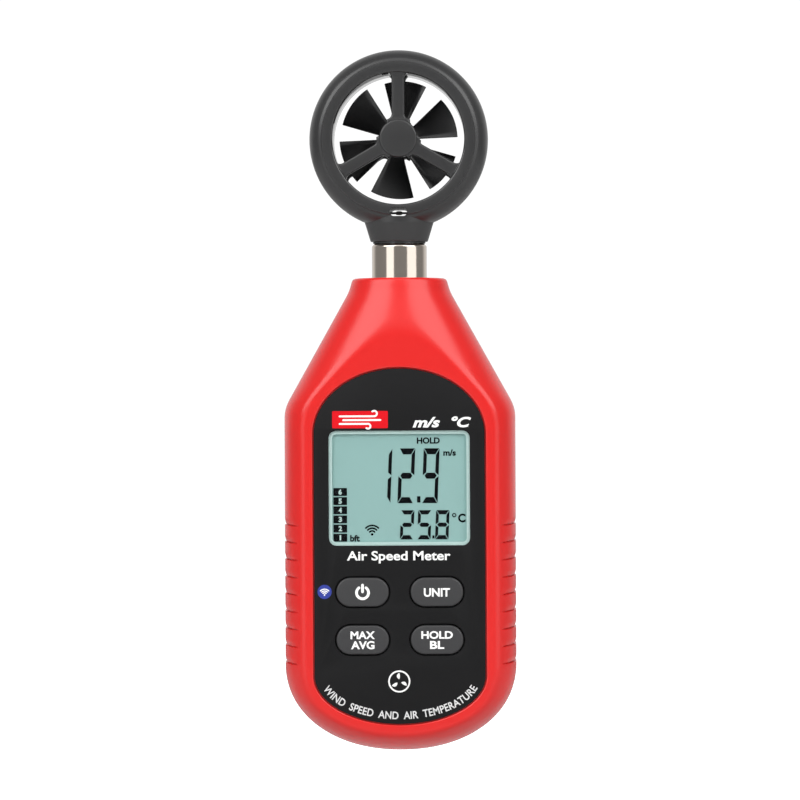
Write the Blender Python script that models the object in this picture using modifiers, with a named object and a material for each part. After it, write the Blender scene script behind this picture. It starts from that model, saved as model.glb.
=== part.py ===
"""Handheld vane weather meter: a moulded case with a display and four keys, and a swivelling wind head.

Metres, +Z up, the display facing -Y. Heights in this file are measured up from the bottom end of the
case, and one empty then lowers the whole meter so that the middle of its hand grip is the origin.
"""

import math

import bmesh
import bpy
import numpy as np
from mathutils import Matrix, Vector

MM = 0.001

# Driving dimensions of the case
CASE_WIDTH = 52.8 * MM
CASE_DEPTH = 28.0 * MM
CASE_TOP = 107.8 * MM
OVERALL_HEIGHT = 160.0 * MM
WALL = 2.0 * MM
END_RISE = 20.0 * MM            # height over which the bottom end narrows
END_POWER = 2.13                # superellipse power of that end, 2 being an ellipse
SHOULDER_Z = 78.2 * MM          # where the sides begin to taper
TAPER = 0.5567                  # how far each side comes in per unit of height
NECK_Z = 104.8 * MM             # where the taper ends in a short round neck
NECK_RADIUS = 11.6 * MM
TOP_RADIUS = 10.75 * MM
BULGE = 18.1 * MM               # how far the front would stand out if it were not cut flat
LEAN_BULGE = 16.8 * MM          # the same where the front begins to lean back towards the neck
LEAN_Z = 72.0 * MM
REAR_BULGE = 14.5 * MM
FACE_RISE = 12.3 * MM           # height over which the front curves in at the bottom
REAR_RISE = 9.7 * MM
FACE_HALF = 22.05 * MM          # half the width of the flat front face
FACE_ARCH = (72.3 * MM, 17.4 * MM)       # height where its arched top begins, and its rise
FACE_FOOT = (17.6 * MM, 13.5 * MM)       # height where its rounded foot begins, and its drop
PARTING_Y = 2.0 * MM            # plane where the front and rear cases meet
GAP = 0.3 * MM                  # clearance between neighbouring pieces
GRIP_HEIGHT = 36.8 * MM         # middle of the hand grip above the bottom end

# Front face
PANEL_HALF = 19.3 * MM
PANEL_ARCH = (72.3 * MM, 14.8 * MM)      # height where the arched top begins, and its rise
PANEL_FOOT = (17.6 * MM, 10.8 * MM)      # height where the rounded foot begins, and its drop
PANEL_FLOOR_Y = -13.0 * MM
PANEL_Y = (-13.7 * MM, -13.3 * MM)
FRONT_CAVITY_Y = 11.4 * MM
WINDOW_SIZE = (31.9 * MM, 25.95 * MM)
WINDOW_Z = 60.1 * MM
WINDOW_RADIUS = 1.7 * MM
KEY_SIZE = (11.9 * MM, 6.55 * MM)
KEY_X = 8.4 * MM
KEY_Z = (36.6 * MM, 25.8 * MM)
KEY_FRONT_Y = -14.2 * MM
GROOVES = 9
GROOVE_PITCH = 3.92 * MM
GROOVE_RADIUS = 1.0 * MM
GROOVE_DEPTH = 0.55 * MM

# Electronics
BOARD_Y = -5.2 * MM
BOARD_THICKNESS = 1.2 * MM
BOARD_SIZE = (34.4 * MM, 74.0 * MM)
BOARD_Z = 52.0 * MM
SOCKET_Y = -2.0 * MM            # middle of the socket that the head's cable plugs into

# Batteries: AAA cells side by side
CELL_RADIUS = 5.25 * MM
CELL_LENGTH = 44.5 * MM
CELL_PITCH = 10.9 * MM
CELL_Y = 6.4 * MM
CELL_FOOT = 15.0 * MM
TRAY_Z = (10.5 * MM, 63.6 * MM)
COVER_HALF = 16.5 * MM
COVER_TOP = 62.0 * MM
COVER_INNER_Y = 8.8 * MM
SCREW_X = 20.6 * MM
SCREW_Z = (17.0 * MM, 70.0 * MM)

# Neck swivel
COLLAR_RADIUS = 6.3 * MM
COLLAR_Z = (99.0 * MM, 115.75 * MM)
COLLAR_BORE = 4.8 * MM
SWIVEL_TUBE_RADIUS = 4.7 * MM
HEAD_NECK_Z = 116.25 * MM

# Wind head
RING_RADIUS = 20.44 * MM
HEAD_Z = OVERALL_HEIGHT - RING_RADIUS
RING_DEPTH = 16.0 * MM
SPOKE_DEPTH = 2.6 * MM
HUB_FACE_Y = 4.2 * MM            # inner face of each hub, facing the impeller
DUCT_RADIUS = 15.0 * MM
HUB_RADIUS = 4.33 * MM
SPOKE_WIDTH = 2.6 * MM
SPOKE_ANGLES = (90, 210, 330)
BLADES = 6
BLADE_TIP = 13.5 * MM
BLADE_SPAN = math.radians(41)
BLADE_START = math.radians(-1.1)
BLADE_DEPTH = 5.6 * MM
SHAFT_RADIUS = 0.6 * MM
SLOT_Z = 122.8 * MM


# ---------------------------------------------------------------- scene and materials

def clear_scene():
    """Removes whatever the file opened with."""
    for obj in list(bpy.data.objects):
        bpy.data.objects.remove(obj)


def make_collection(name, hidden=False):
    """A collection linked to the scene. Cutters go in a hidden one."""
    collection = bpy.data.collections.new(name)
    collection.hide_render = hidden
    bpy.context.scene.collection.children.link(collection)
    return collection


def make_material(name, colour, roughness=0.5, metallic=0.0, alpha=1.0):
    """A Principled material of one colour."""
    material = bpy.data.materials.new(name)
    material.use_nodes = True
    shader = material.node_tree.nodes["Principled BSDF"]
    shader.inputs["Base Color"].default_value = (*colour, 1.0)
    shader.inputs["Roughness"].default_value = roughness
    shader.inputs["Metallic"].default_value = metallic
    shader.inputs["Alpha"].default_value = alpha
    material.diffuse_color = (*colour, alpha)
    return material


clear_scene()
METER = make_collection("weather_meter")
CUTTERS = make_collection("cutters", hidden=True)
FINISH = {
    "red_shell": make_material("red_shell", (0.78, 0.035, 0.03), 0.38),
    "head_plastic": make_material("head_plastic", (0.055, 0.055, 0.06), 0.42),
    "black_panel": make_material("black_panel", (0.018, 0.018, 0.019), 0.35),
    "clear_window": make_material("clear_window", (0.9, 0.95, 0.95), 0.05, alpha=0.3),
    "display": make_material("display", (0.32, 0.50, 0.47), 0.25),
    "backlight": make_material("backlight", (0.85, 0.87, 0.86), 0.4),
    "key_rubber": make_material("key_rubber", (0.085, 0.085, 0.09), 0.55),
    "dark_rubber": make_material("dark_rubber", (0.03, 0.03, 0.03), 0.7),
    "circuit_board": make_material("circuit_board", (0.02, 0.16, 0.07), 0.45),
    "chip_black": make_material("chip_black", (0.02, 0.02, 0.02), 0.4),
    "steel": make_material("steel", (0.55, 0.55, 0.56), 0.25, 1.0),
    "collar_metal": make_material("collar_metal", (0.78, 0.75, 0.72), 0.16, 1.0),
    "brass": make_material("brass", (0.72, 0.52, 0.25), 0.3, 1.0),
    "battery_sleeve": make_material("battery_sleeve", (0.05, 0.09, 0.2), 0.35),
    "tray_plastic": make_material("tray_plastic", (0.02, 0.02, 0.02), 0.5),
    "blade_black": make_material("blade_black", (0.012, 0.012, 0.012), 0.35),
    "sensor_ceramic": make_material("sensor_ceramic", (0.6, 0.56, 0.48), 0.35),
}


# ---------------------------------------------------------------- placing

def make_pivot(name, place, parent=None):
    """An empty at a joint's axis or at the frame's origin. place is in case heights."""
    pivot = bpy.data.objects.new(name, None)
    METER.objects.link(pivot)
    pivot["place"] = place
    pivot.parent = parent
    pivot.location = Vector(place) - Vector(parent["place"] if parent else (0, 0, GRIP_HEIGHT))
    return pivot


FRAME = make_pivot("meter_frame", (0, 0, 0))
SWIVEL = make_pivot("head_swivel_axis", (0, 0, HEAD_NECK_Z), FRAME)
SPIN = make_pivot("impeller_axis", (0, 0, HEAD_Z), SWIVEL)


def add(mesh, name, finish, place=(0, 0, 0), parent=FRAME, turn=0.0):
    """The object of a mesh or curve at a place in case heights. finish None makes it a cutter.

    turn rotates it about X, which lays a shape made along Z along Y instead.
    """
    obj = bpy.data.objects.new(name, mesh)
    obj.parent = parent
    obj.location = Vector(place) - Vector(parent["place"])
    obj.rotation_euler.x = turn
    if finish is None:
        CUTTERS.objects.link(obj)
        obj.hide_render = True
        obj.display_type = "WIRE"
    else:
        METER.objects.link(obj)
        mesh.materials.append(FINISH[finish])
    return obj


def boolean(target, operation, tools):
    """Gives target one Boolean modifier for each tool."""
    for tool in tools:
        modifier = target.modifiers.new(f"{operation.lower()}_{tool.name}", "BOOLEAN")
        modifier.operation = operation
        modifier.solver = "EXACT"
        modifier.object = tool


def cut(target, *tools):
    boolean(target, "DIFFERENCE", tools)


def join(target, *tools):
    boolean(target, "UNION", tools)


def keep(target, *tools):
    boolean(target, "INTERSECT", tools)


# ---------------------------------------------------------------- shapes

def to_mesh(name, bm):
    """The mesh of a bmesh with its faces turned outwards."""
    bmesh.ops.recalc_face_normals(bm, faces=bm.faces)
    mesh = bpy.data.meshes.new(name)
    bm.to_mesh(mesh)
    bm.free()
    return mesh


def box(name, low, high, finish=None, parent=FRAME):
    """A block between two corners."""
    size, middle = Vector(high) - Vector(low), (Vector(high) + Vector(low)) / 2
    bm = bmesh.new()
    bmesh.ops.create_cube(bm, size=1.0, matrix=Matrix.Diagonal((*size, 1.0)))
    return add(to_mesh(name, bm), name, finish, middle, parent)


def rod(name, radius, low, high, axis, finish=None, parent=FRAME, segments=24, end_radius=None):
    """A cylinder or cone from low to high, the two ends of its axis, along "X", "Y" or "Z"."""
    low, high = Vector(low), Vector(high)
    bm = bmesh.new()
    bmesh.ops.create_cone(
        bm, cap_ends=True, segments=segments, radius1=radius,
        radius2=radius if end_radius is None else end_radius, depth=(high - low).length,
    )
    turns = {"X": Matrix.Rotation(math.pi / 2, 4, "Y"), "Y": Matrix.Rotation(-math.pi / 2, 4, "X")}
    bmesh.ops.transform(bm, matrix=turns.get(axis, Matrix.Identity(4)), verts=bm.verts)
    mesh = to_mesh(name, bm)
    shade(mesh)
    return add(mesh, name, finish, (low + high) / 2, parent)


def drum(name, radius, place, ends, finish=None, parent=FRAME, segments=24):
    """A cylinder along Y at (x, z), between two Y values in either order."""
    low, high = ((place[0], y, place[1]) for y in sorted(ends))
    return rod(name, radius, low, high, "Y", finish, parent, segments)


def shade(mesh):
    """Shades round faces smooth and keeps the edges crisp."""
    mesh.shade_smooth()
    mesh.set_sharp_from_angle(angle=math.radians(35))


def turned(name, profile, place, axis="Z", finish=None, parent=FRAME, segments=32):
    """A turned piece. profile lists (radius, distance along the axis) and place is its zero.

    Along Z the profile runs down the outer side, from top to bottom; along Y from back to front. One that
    starts and ends on the axis is solid, and any other is closed into a ring.
    """
    bm = bmesh.new()
    points = [bm.verts.new((radius, 0, along)) for radius, along in profile]
    for first, second in zip(points, points[1:]):
        bm.edges.new((first, second))
    solid = profile[0][0] == 0 and profile[-1][0] == 0
    if not solid:
        bm.edges.new((points[-1], points[0]))
    mesh = bpy.data.meshes.new(name)
    bm.to_mesh(mesh)
    bm.free()
    obj = add(mesh, name, finish, place, parent, -math.pi / 2 if axis == "Y" else 0.0)
    screw = obj.modifiers.new("turn", "SCREW")
    screw.steps = screw.render_steps = segments
    screw.use_merge_vertices = True
    screw.merge_threshold = 0.00001
    screw.use_smooth_shade = False
    return obj


def flat_curve(name, outlines, thickness):
    """A 2D curve of closed outlines, filled and as thick as stated: an outline inside another is a hole."""
    curve = bpy.data.curves.new(name, "CURVE")
    curve.dimensions = "2D"
    curve.fill_mode = "BOTH"
    curve.extrude = thickness / 2
    for outline in outlines:
        spline = curve.splines.new("POLY")
        spline.points.add(len(outline) - 1)
        for point, (x, z) in zip(spline.points, outline):
            point.co = (x, z, 0, 1)
        spline.use_cyclic_u = True
    return curve


def plate(name, outlines, front, back, finish=None, parent=FRAME):
    """An upright plate between two Y values. Its outlines are (x, z) points in case heights."""
    middle = (0, (front + back) / 2, 0)
    obj = add(flat_curve(name, outlines, back - front), name, None, middle, parent, math.pi / 2)
    bpy.context.view_layer.update()
    graph = bpy.context.evaluated_depsgraph_get()
    mesh = bpy.data.meshes.new_from_object(obj.evaluated_get(graph))
    bpy.data.objects.remove(obj)
    bm = bmesh.new()
    bm.from_mesh(mesh)
    bmesh.ops.remove_doubles(bm, verts=bm.verts, dist=0.000001)
    bm.to_mesh(mesh)
    bm.free()
    mesh.materials.clear()
    return add(mesh, name, finish, middle, parent, math.pi / 2)


def wire(name, points, radius, finish, parent=FRAME, sides=1):
    """A round wire or cable through points in case heights."""
    curve = bpy.data.curves.new(name, "CURVE")
    curve.dimensions = "3D"
    curve.bevel_depth = radius
    curve.bevel_resolution = sides
    curve.use_fill_caps = True
    spline = curve.splines.new("POLY")
    spline.points.add(len(points) - 1)
    for point, place in zip(spline.points, points):
        point.co = (*(Vector(place) - Vector(parent["place"])), 1)
    return add(curve, name, finish, parent["place"], parent)


def loft(name, rings, finish=None):
    """A closed skin over rings of equally many points, with a flat cap at each end."""
    bm = bmesh.new()
    levels = [[bm.verts.new(point) for point in ring] for ring in rings]
    for lower, upper in zip(levels, levels[1:]):
        for k, vert in enumerate(lower):
            following = (k + 1) % len(lower)
            bm.faces.new((vert, lower[following], upper[following], upper[k]))
    bm.faces.new(levels[0])
    bm.faces.new(levels[-1])
    mesh = to_mesh(name, bm)
    shade(mesh)
    return add(mesh, name, finish)


def arc(centre, radii, start, end, steps):
    """Points (x, z) along an elliptical arc, from start to end degrees."""
    angles = np.radians(np.linspace(start, end, steps))
    return [(centre[0] + radii[0] * math.cos(a), centre[1] + radii[1] * math.sin(a)) for a in angles]


def rounded_rectangle(centre, size, radius, steps=4):
    """Outline of a rectangle with round corners."""
    x, z = size[0] / 2 - radius, size[1] / 2 - radius
    corners = ((x, z, 0), (-x, z, 90), (-x, -z, 180), (x, -z, 270))
    return [
        point
        for dx, dz, turn in corners
        for point in arc((centre[0] + dx, centre[1] + dz), (radius, radius), turn, turn + 90, steps)
    ]


def key_outline(centre, grow=0.0):
    """Outline of a key with full round ends, grown by a clearance."""
    size = (KEY_SIZE[0] + 2 * grow, KEY_SIZE[1] + 2 * grow)
    return rounded_rectangle(centre, size, size[1] / 2 * 0.98, steps=5)


def panel_outline(inset=0.0):
    """Outline of the front panel: straight sides, an arched top and a rounded foot."""
    half = PANEL_HALF - inset
    top = arc((0, PANEL_ARCH[0]), (half, PANEL_ARCH[1] - inset), 0, 180, 19)
    foot = arc((0, PANEL_FOOT[0]), (half, PANEL_FOOT[1] - inset), 180, 360, 15)
    return top + foot


KEYS = {
    "power_key": (-KEY_X, KEY_Z[0]),
    "unit_key": (KEY_X, KEY_Z[0]),
    "max_avg_key": (-KEY_X, KEY_Z[1]),
    "hold_light_key": (KEY_X, KEY_Z[1]),
}


# ---------------------------------------------------------------- case

def superellipse_end(height, rise, power=END_POWER):
    """Share of full width at a height above a rounded end, 0 at the end and 1 where it is full."""
    return (1 - min(1.0, max(0.0, (rise - height) / rise)) ** power) ** (1 / power)


def half_width(z, inset):
    """Half the case's width at height z, with a wall's inset taken off."""
    straight = (CASE_WIDTH / 2 - inset) * superellipse_end(z - inset, END_RISE - inset)
    tapered = CASE_WIDTH / 2 - (z - SHOULDER_Z) * TAPER - inset / math.cos(math.atan(TAPER))
    neck = np.interp(z, (NECK_Z, CASE_TOP), (NECK_RADIUS, TOP_RADIUS)) - inset
    return min(straight, tapered) if z < NECK_Z else neck


def front_reach(z, inset, power):
    """How far the front stands out at height z: a superellipse through the edge of the flat face.

    Above the face it leans back towards the neck, and below it curves in to the bottom end.
    """
    above = min(1.0, max(0.0, (z - FACE_ARCH[0]) / FACE_ARCH[1]))
    below = min(1.0, max(0.0, (FACE_FOOT[0] - z) / FACE_FOOT[1]))
    edge = FACE_HALF * math.sqrt(1 - above**2) * math.sqrt(1 - below**2)
    share = min(0.9, edge / max(half_width(z, 0.0), edge + 0.1 * MM))
    full = CASE_DEPTH / 2 / (1 - share**power) ** (1 / power)
    if z > LEAN_Z:
        leaning = np.interp(z, (LEAN_Z, NECK_Z, CASE_TOP), (LEAN_BULGE, NECK_RADIUS, TOP_RADIUS))
        full = leaning if above == 1 else max(full, leaning)
    body = (BULGE - inset) * superellipse_end(z - inset, FACE_RISE - inset)
    return min(body, full - inset)


def rear_reach(z, inset):
    """How far the rear stands out at height z."""
    body = (REAR_BULGE - inset) * superellipse_end(z - inset, REAR_RISE - inset)
    leaning = np.interp(z, (SHOULDER_Z, NECK_Z, CASE_TOP), (REAR_BULGE, NECK_RADIUS, TOP_RADIUS))
    return min(body, leaning - inset)


def case_ring(z, inset, count, faces):
    """One level of the case: a superellipse whose front and rear are cut flat at faces."""
    stations = (0, 8 * MM, 12 * MM, END_RISE, 74 * MM, 84 * MM, 87 * MM, NECK_Z)
    power = np.interp(z, stations, (2.1, 2.7, 3.0, 3.2, 3.2, 2.6, 2.5, 2.0))
    rear_power = np.interp(z, stations, (2.1, 3.0, 3.9, 4.5, 4.1, 4.02, 4.0, 2.0))
    wide = half_width(z, inset)
    front, rear = front_reach(z, inset, power), rear_reach(z, inset)
    ring = []
    for angle in 2 * math.pi * np.arange(count) / count:
        along, across = math.cos(angle), math.sin(angle)
        root = 2 / (rear_power if across > 0 else power)
        x = wide * math.copysign(abs(along) ** root, along)
        y = (rear if across > 0 else front) * math.copysign(abs(across) ** root, across)
        ring.append((x, min(faces[1], max(faces[0], y)), z))
    return ring


def case_solid(name, inset, top, count, finish=None, faces=(-CASE_DEPTH / 2, CASE_DEPTH / 2)):
    """The case's outer form up to a height, or with an inset and no finish its hollow, on fewer levels."""
    steps = (8, 19, 31, 44, 60, 76) if finish else (10, 30, 58)
    ends = [inset + (END_RISE - inset) * (1 - math.cos(math.radians(angle))) for angle in steps]
    shoulders = [SHOULDER_Z + step * MM for step in ((0, 4, 8, 11, 16) if finish else (0, 9))] + [NECK_Z]
    levels = ends + [END_RISE, LEAN_Z] + [z for z in shoulders if z < top - MM] + [top]
    rings = [case_ring(z, inset, count, faces) for z in levels]
    rings[0] = [(x, y, inset) for x, y, _ in rings[0]]
    return loft(name, rings, finish)


def half_case(name, low_y, high_y):
    """A copy of the outer form, hollowed, between two planes across its depth."""
    shell = case_solid(name, 0.0, CASE_TOP, 44, "red_shell")
    span = 0.1
    keep(shell, box(f"{name}_side", (-span, low_y, -span), (span, high_y, 2 * span)))
    cut(shell, HOLLOW, COLLAR_SEAT)
    return shell


def grip_grooves(*ends):
    """Short grooves down both sides of the grip, between two Y values, as one cutter for each."""
    for number in range(GROOVES):
        z = GRIP_HEIGHT + (number - (GROOVES - 1) / 2) * GROOVE_PITCH
        for side in (-1, 1):
            x = side * (CASE_WIDTH / 2 + GROOVE_RADIUS - GROOVE_DEPTH)
            yield drum(f"groove_{number}_{side}", GROOVE_RADIUS, (x, z), ends, segments=6)


def screw_places():
    return [(side * SCREW_X, z) for side in (-1, 1) for z in SCREW_Z]


HOLLOW = case_solid("case_hollow", WALL, 99.5 * MM, 24, faces=(-FRONT_CAVITY_Y, CASE_DEPTH / 2 - WALL))
COLLAR_SEAT = turned(
    "collar_seat",
    [
        (0, 110 * MM), (COLLAR_RADIUS + GAP, 110 * MM), (COLLAR_RADIUS + GAP, 103.9 * MM),
        (8.7 * MM, 103.9 * MM), (8.7 * MM, 101.7 * MM),
        (COLLAR_RADIUS + GAP, 101.7 * MM), (COLLAR_RADIUS + GAP, 98 * MM), (0, 98 * MM),
    ],
    (0, 0, 0),
)


def build_front_case():
    """The front half: recess for the panel, openings for the display and keys, and four screw posts."""
    case = half_case("front_case", -0.05, PARTING_Y - GAP / 2)
    ends = (-FRONT_CAVITY_Y - 0.5 * MM, PARTING_Y - GAP / 2 - 0.05 * MM)
    for number, place in enumerate(screw_places()):
        join(case, drum(f"front_post_{number}", 2.6 * MM, place, ends, segments=16))
        cut(case, drum(f"front_pilot_{number}", 1.4 * MM, place, (-9 * MM, 4 * MM), segments=12))
    cut(case, plate("panel_recess", [panel_outline(-GAP)], -16 * MM, PANEL_FLOOR_Y))
    opening = (WINDOW_SIZE[0] - MM, WINDOW_SIZE[1] - MM)
    cut(case, plate("window_opening", [rounded_rectangle((0, WINDOW_Z), opening, MM)], -16 * MM, -10 * MM))
    for name, centre in KEYS.items():
        cut(case, plate(f"{name}_opening", [key_outline(centre, GAP)], -16 * MM, -10 * MM))
    cut(case, *grip_grooves(-9 * MM, 4 * MM))


def build_rear_case():
    """The rear half: screw bosses sunk from behind and a channel that the battery cover slides in."""
    case = half_case("rear_case", PARTING_Y + GAP / 2, 0.05)
    ends = (PARTING_Y + GAP / 2 + 0.05 * MM, 11.4 * MM)
    for number, place in enumerate(screw_places()):
        join(case, drum(f"rear_boss_{number}", 2.9 * MM, place, ends, segments=16))
        cut(
            case,
            drum(f"rear_sink_{number}", 2.2 * MM, place, (6 * MM, 20 * MM), segments=16),
            drum(f"rear_hole_{number}", 1.4 * MM, place, (0, 8 * MM), segments=12),
        )
    edge = COVER_HALF + GAP
    cut(
        case,
        box("cover_opening", (-edge, COVER_INNER_Y - GAP, -0.01), (edge, 0.03, COVER_TOP + GAP)),
        box("tongue_channel", (-18.1 * MM, 10.1 * MM, -0.01), (18.1 * MM, 11.6 * MM, COVER_TOP - 0.4 * MM)),
        *grip_grooves(0, 9 * MM),
    )


def build_battery_cover():
    """The part of the rear skin over the batteries, with rails that guide it off the bottom end."""
    cover = case_solid("battery_cover", 0.0, CASE_TOP, 44, "red_shell")
    cut(cover, HOLLOW)
    keep(cover, box("cover_block", (-COVER_HALF, COVER_INNER_Y, -0.01), (COVER_HALF, 0.03, COVER_TOP)))
    for side in (-1, 1):
        for name, outer, deep in (("rail", 16.4 * MM, 12.6 * MM), ("tongue", 17.8 * MM, 11.3 * MM)):
            low, high = sorted((side * 14.8 * MM, side * outer))
            join(cover, box(f"{name}_{side}", (low, 10.4 * MM, 16 * MM), (high, deep, COVER_TOP - MM)))
    for number in range(5):
        z = 44 * MM - number * 2.2 * MM
        cut(cover, box(f"thumb_slot_{number}", (-6 * MM, 13.5 * MM, z), (6 * MM, 15 * MM, z + 0.9 * MM)))


def build_case_screws():
    """Four pan-head screws from behind, each with a cross recess."""
    for number, (x, z) in enumerate(screw_places()):
        screw = turned(
            f"case_screw_{number + 1}",
            [
                (0, 8.1 * MM), (1.0 * MM, 8.0 * MM), (1.7 * MM, 7.4 * MM), (1.9 * MM, 6.3 * MM),
                (1.1 * MM, 6.3 * MM), (1.1 * MM, -5.6 * MM), (0.5 * MM, -6.6 * MM), (0, -6.6 * MM),
            ],
            (x, 0, z), "Y", "steel", segments=12,
        )
        for cross, (half_x, half_z) in enumerate(((0.9 * MM, 0.2 * MM), (0.2 * MM, 0.9 * MM))):
            low, high = (x - half_x, 7.3 * MM, z - half_z), (x + half_x, 9 * MM, z + half_z)
            cut(screw, box(f"cross_{number}_{cross}", low, high))


# ---------------------------------------------------------------- display, keys and electronics

def build_front_panel():
    """The printed panel, with openings for the window and the keys."""
    outlines = [panel_outline(), rounded_rectangle((0, WINDOW_Z), WINDOW_SIZE, WINDOW_RADIUS)]
    outlines += [key_outline(centre, GAP) for centre in KEYS.values()]
    plate("front_panel", outlines, *PANEL_Y, "black_panel")
    lens = (WINDOW_SIZE[0] - 2 * 0.1 * MM, WINDOW_SIZE[1] - 2 * 0.1 * MM)
    outline = rounded_rectangle((0, WINDOW_Z), lens, WINDOW_RADIUS - 0.1 * MM)
    plate("display_window", [outline], -13.75 * MM, -13.2 * MM, "clear_window")


def build_display():
    """The liquid crystal cell, its light guide and lamp, and the two contact strips to the board."""
    def layer(name, size, front, back, finish, z=WINDOW_Z):
        plate(name, [rounded_rectangle((0, z), size, 0.6 * MM, 3)], front, back, finish)

    layer("lcd_cell", (34 * MM, 28.6 * MM), -11.1 * MM, -9.0 * MM, "display")
    layer("backlight_guide", (32 * MM, 22.4 * MM), -8.7 * MM, -5.9 * MM, "backlight")
    for name, offset in (("contact_strip_upper", 12.9 * MM), ("contact_strip_lower", -12.9 * MM)):
        layer(name, (31 * MM, 1.8 * MM), -8.7 * MM, BOARD_Y - GAP, "dark_rubber", WINDOW_Z + offset)
    box("backlight_lamp", (16.3 * MM, -7.9 * MM, 58.6 * MM), (17.1 * MM, -6.0 * MM, 61.6 * MM), "backlight")


def build_keys():
    """Four keys that travel inwards, the sheet that holds them and the switch under each."""
    for name, (x, z) in KEYS.items():
        cap = plate(name, [key_outline((0, 0))], KEY_FRONT_Y, -11.0 * MM, "key_rubber")
        cap.location += Vector((x, 0, z))
        bevel = cap.modifiers.new("edge", "BEVEL")
        bevel.width = 0.35 * MM
        bevel.segments = 1
        bevel.limit_method = "ANGLE"
        outline = rounded_rectangle((x, z), (13.4 * MM, 8.0 * MM), 3 * MM)
        flange = plate(f"{name}_flange", [outline], -11.1 * MM, -10.2 * MM)
        stem = drum(f"{name}_stem", 1.6 * MM, (x, z), (-10.5 * MM, -7.3 * MM), segments=12)
        join(cap, flange, stem)
        turned(
            name.replace("key", "switch"),
            [
                (0, -5.5 * MM), (2.6 * MM, -5.5 * MM), (2.6 * MM, -5.9 * MM), (1.7 * MM, -6.4 * MM),
                (0, -6.6 * MM),
            ],
            (x, 0, z), "Y", "steel", segments=14,
        )
    middle = (0, sum(KEY_Z) / 2)
    holes = [rounded_rectangle(centre, (14.2 * MM, 8.8 * MM), 3.2 * MM) for centre in KEYS.values()]
    sheet = rounded_rectangle(middle, (34 * MM, 22 * MM), 2.5 * MM)
    plate("keypad_sheet", [sheet, *holes], -11.1 * MM, -10.1 * MM, "dark_rubber")


def build_board():
    """The circuit board and the parts on its rear side."""
    back = BOARD_Y + BOARD_THICKNESS
    outline = rounded_rectangle((0, BOARD_Z), BOARD_SIZE, 3 * MM)
    plate("main_board", [outline], BOARD_Y, back, "circuit_board")

    def chip(name, centre, size, height, finish="chip_black"):
        outline = rounded_rectangle(centre, size, 0.3 * MM, 2)
        plate(name, [outline], back + GAP, back + GAP + height, finish)

    chip("microcontroller", (0, 52 * MM), (10 * MM, 10 * MM), 1.5 * MM)
    chip("wireless_module", (-9 * MM, 30 * MM), (11 * MM, 14 * MM), 1.8 * MM, "steel")
    chip("clock_crystal", (9 * MM, 40 * MM), (3.2 * MM, 8 * MM), 1.6 * MM, "steel")
    chip("voltage_regulator", (10 * MM, 24 * MM), (3 * MM, 3 * MM), 1.1 * MM)
    chip("sensor_socket", (0, 84 * MM), (8 * MM, 4.6 * MM), 3.0 * MM, "backlight")


# ---------------------------------------------------------------- batteries

def build_batteries():
    """Three cells laid top to tail, each a can with a raised positive button."""
    for number in range(3):
        x = (number - 1) * CELL_PITCH
        top, foot = CELL_FOOT + CELL_LENGTH, CELL_FOOT
        profile = [
            (0, top), (1.8 * MM, top), (1.8 * MM, top - 0.9 * MM), (4.8 * MM, top - MM),
            (CELL_RADIUS, top - 1.5 * MM), (CELL_RADIUS, foot + 0.4 * MM), (4.9 * MM, foot), (0, foot),
        ]
        if number == 1:
            profile = [(radius, top + foot - z) for radius, z in reversed(profile)]
        turned(f"battery_{number + 1}", profile, (x, CELL_Y, 0), finish="battery_sleeve", segments=20)


def build_contacts():
    """Contact plates at both ends of the cells, and a conical spring at each negative end."""
    top, foot = CELL_FOOT + CELL_LENGTH, CELL_FOOT
    upper, lower = (61.9 * MM, 62.3 * MM), (12.0 * MM, 12.4 * MM)
    half = 4.6 * MM
    for name, cells, (low, high), button in (
        ("contact_link_upper", (0, 1), upper, 0),
        ("contact_end_upper", (2, 2), upper, 2),
        ("contact_link_lower", (1, 2), lower, 1),
        ("contact_end_lower", (0, 0), lower, None),
    ):
        first, last = ((cell - 1) * CELL_PITCH for cell in cells)
        strip = box(
            name, (first - half, CELL_Y - half, low), (last + half, CELL_Y + 3.2 * MM, high), "brass",
        )
        if button is None:
            continue
        x = (button - 1) * CELL_PITCH
        near, far = (top + GAP, high - 0.1 * MM) if low == upper[0] else (low + 0.1 * MM, foot - GAP)
        join(strip, rod(f"{name}_dimple", 1.6 * MM, (x, CELL_Y, near), (x, CELL_Y, far), "Z", segments=12))
    turns, points = 2.6, 22
    for number in range(3):
        low, high = (top, upper[0]) if number == 1 else (lower[1], foot)
        rise = np.linspace(low + 0.55 * MM, high - 0.55 * MM, points)
        share = np.linspace(0, 1, points) if number != 1 else np.linspace(1, 0, points)
        radius, angle = (3.9 - 1.7 * share) * MM, 2 * math.pi * turns * share
        centre = (number - 1) * CELL_PITCH
        path = np.column_stack((centre + radius * np.cos(angle), CELL_Y + radius * np.sin(angle), rise))
        wire(f"battery_spring_{number + 1}", path, 0.25 * MM, "steel")


def build_battery_tray():
    """The open tray that holds the cells: a floor, four walls and a low rib between neighbours."""
    low, high = TRAY_Z
    tray = box("battery_tray", (-17.4 * MM, 0.2 * MM, low), (17.4 * MM, 9.2 * MM, high), "tray_plastic")
    inside = box("tray_inside", (-16.6 * MM, 0.95 * MM, low + MM), (16.6 * MM, 12 * MM, high - 0.9 * MM))
    cut(tray, inside)
    for side in (-1, 1):
        x = side * CELL_PITCH / 2
        foot, head = CELL_FOOT + 6 * MM, CELL_FOOT + CELL_LENGTH - 6 * MM
        rib = box(f"tray_rib_{side}", (x - 0.5 * MM, 0.5 * MM, foot), (x + 0.5 * MM, 3.2 * MM, head))
        join(tray, rib)


# ---------------------------------------------------------------- neck swivel

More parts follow.
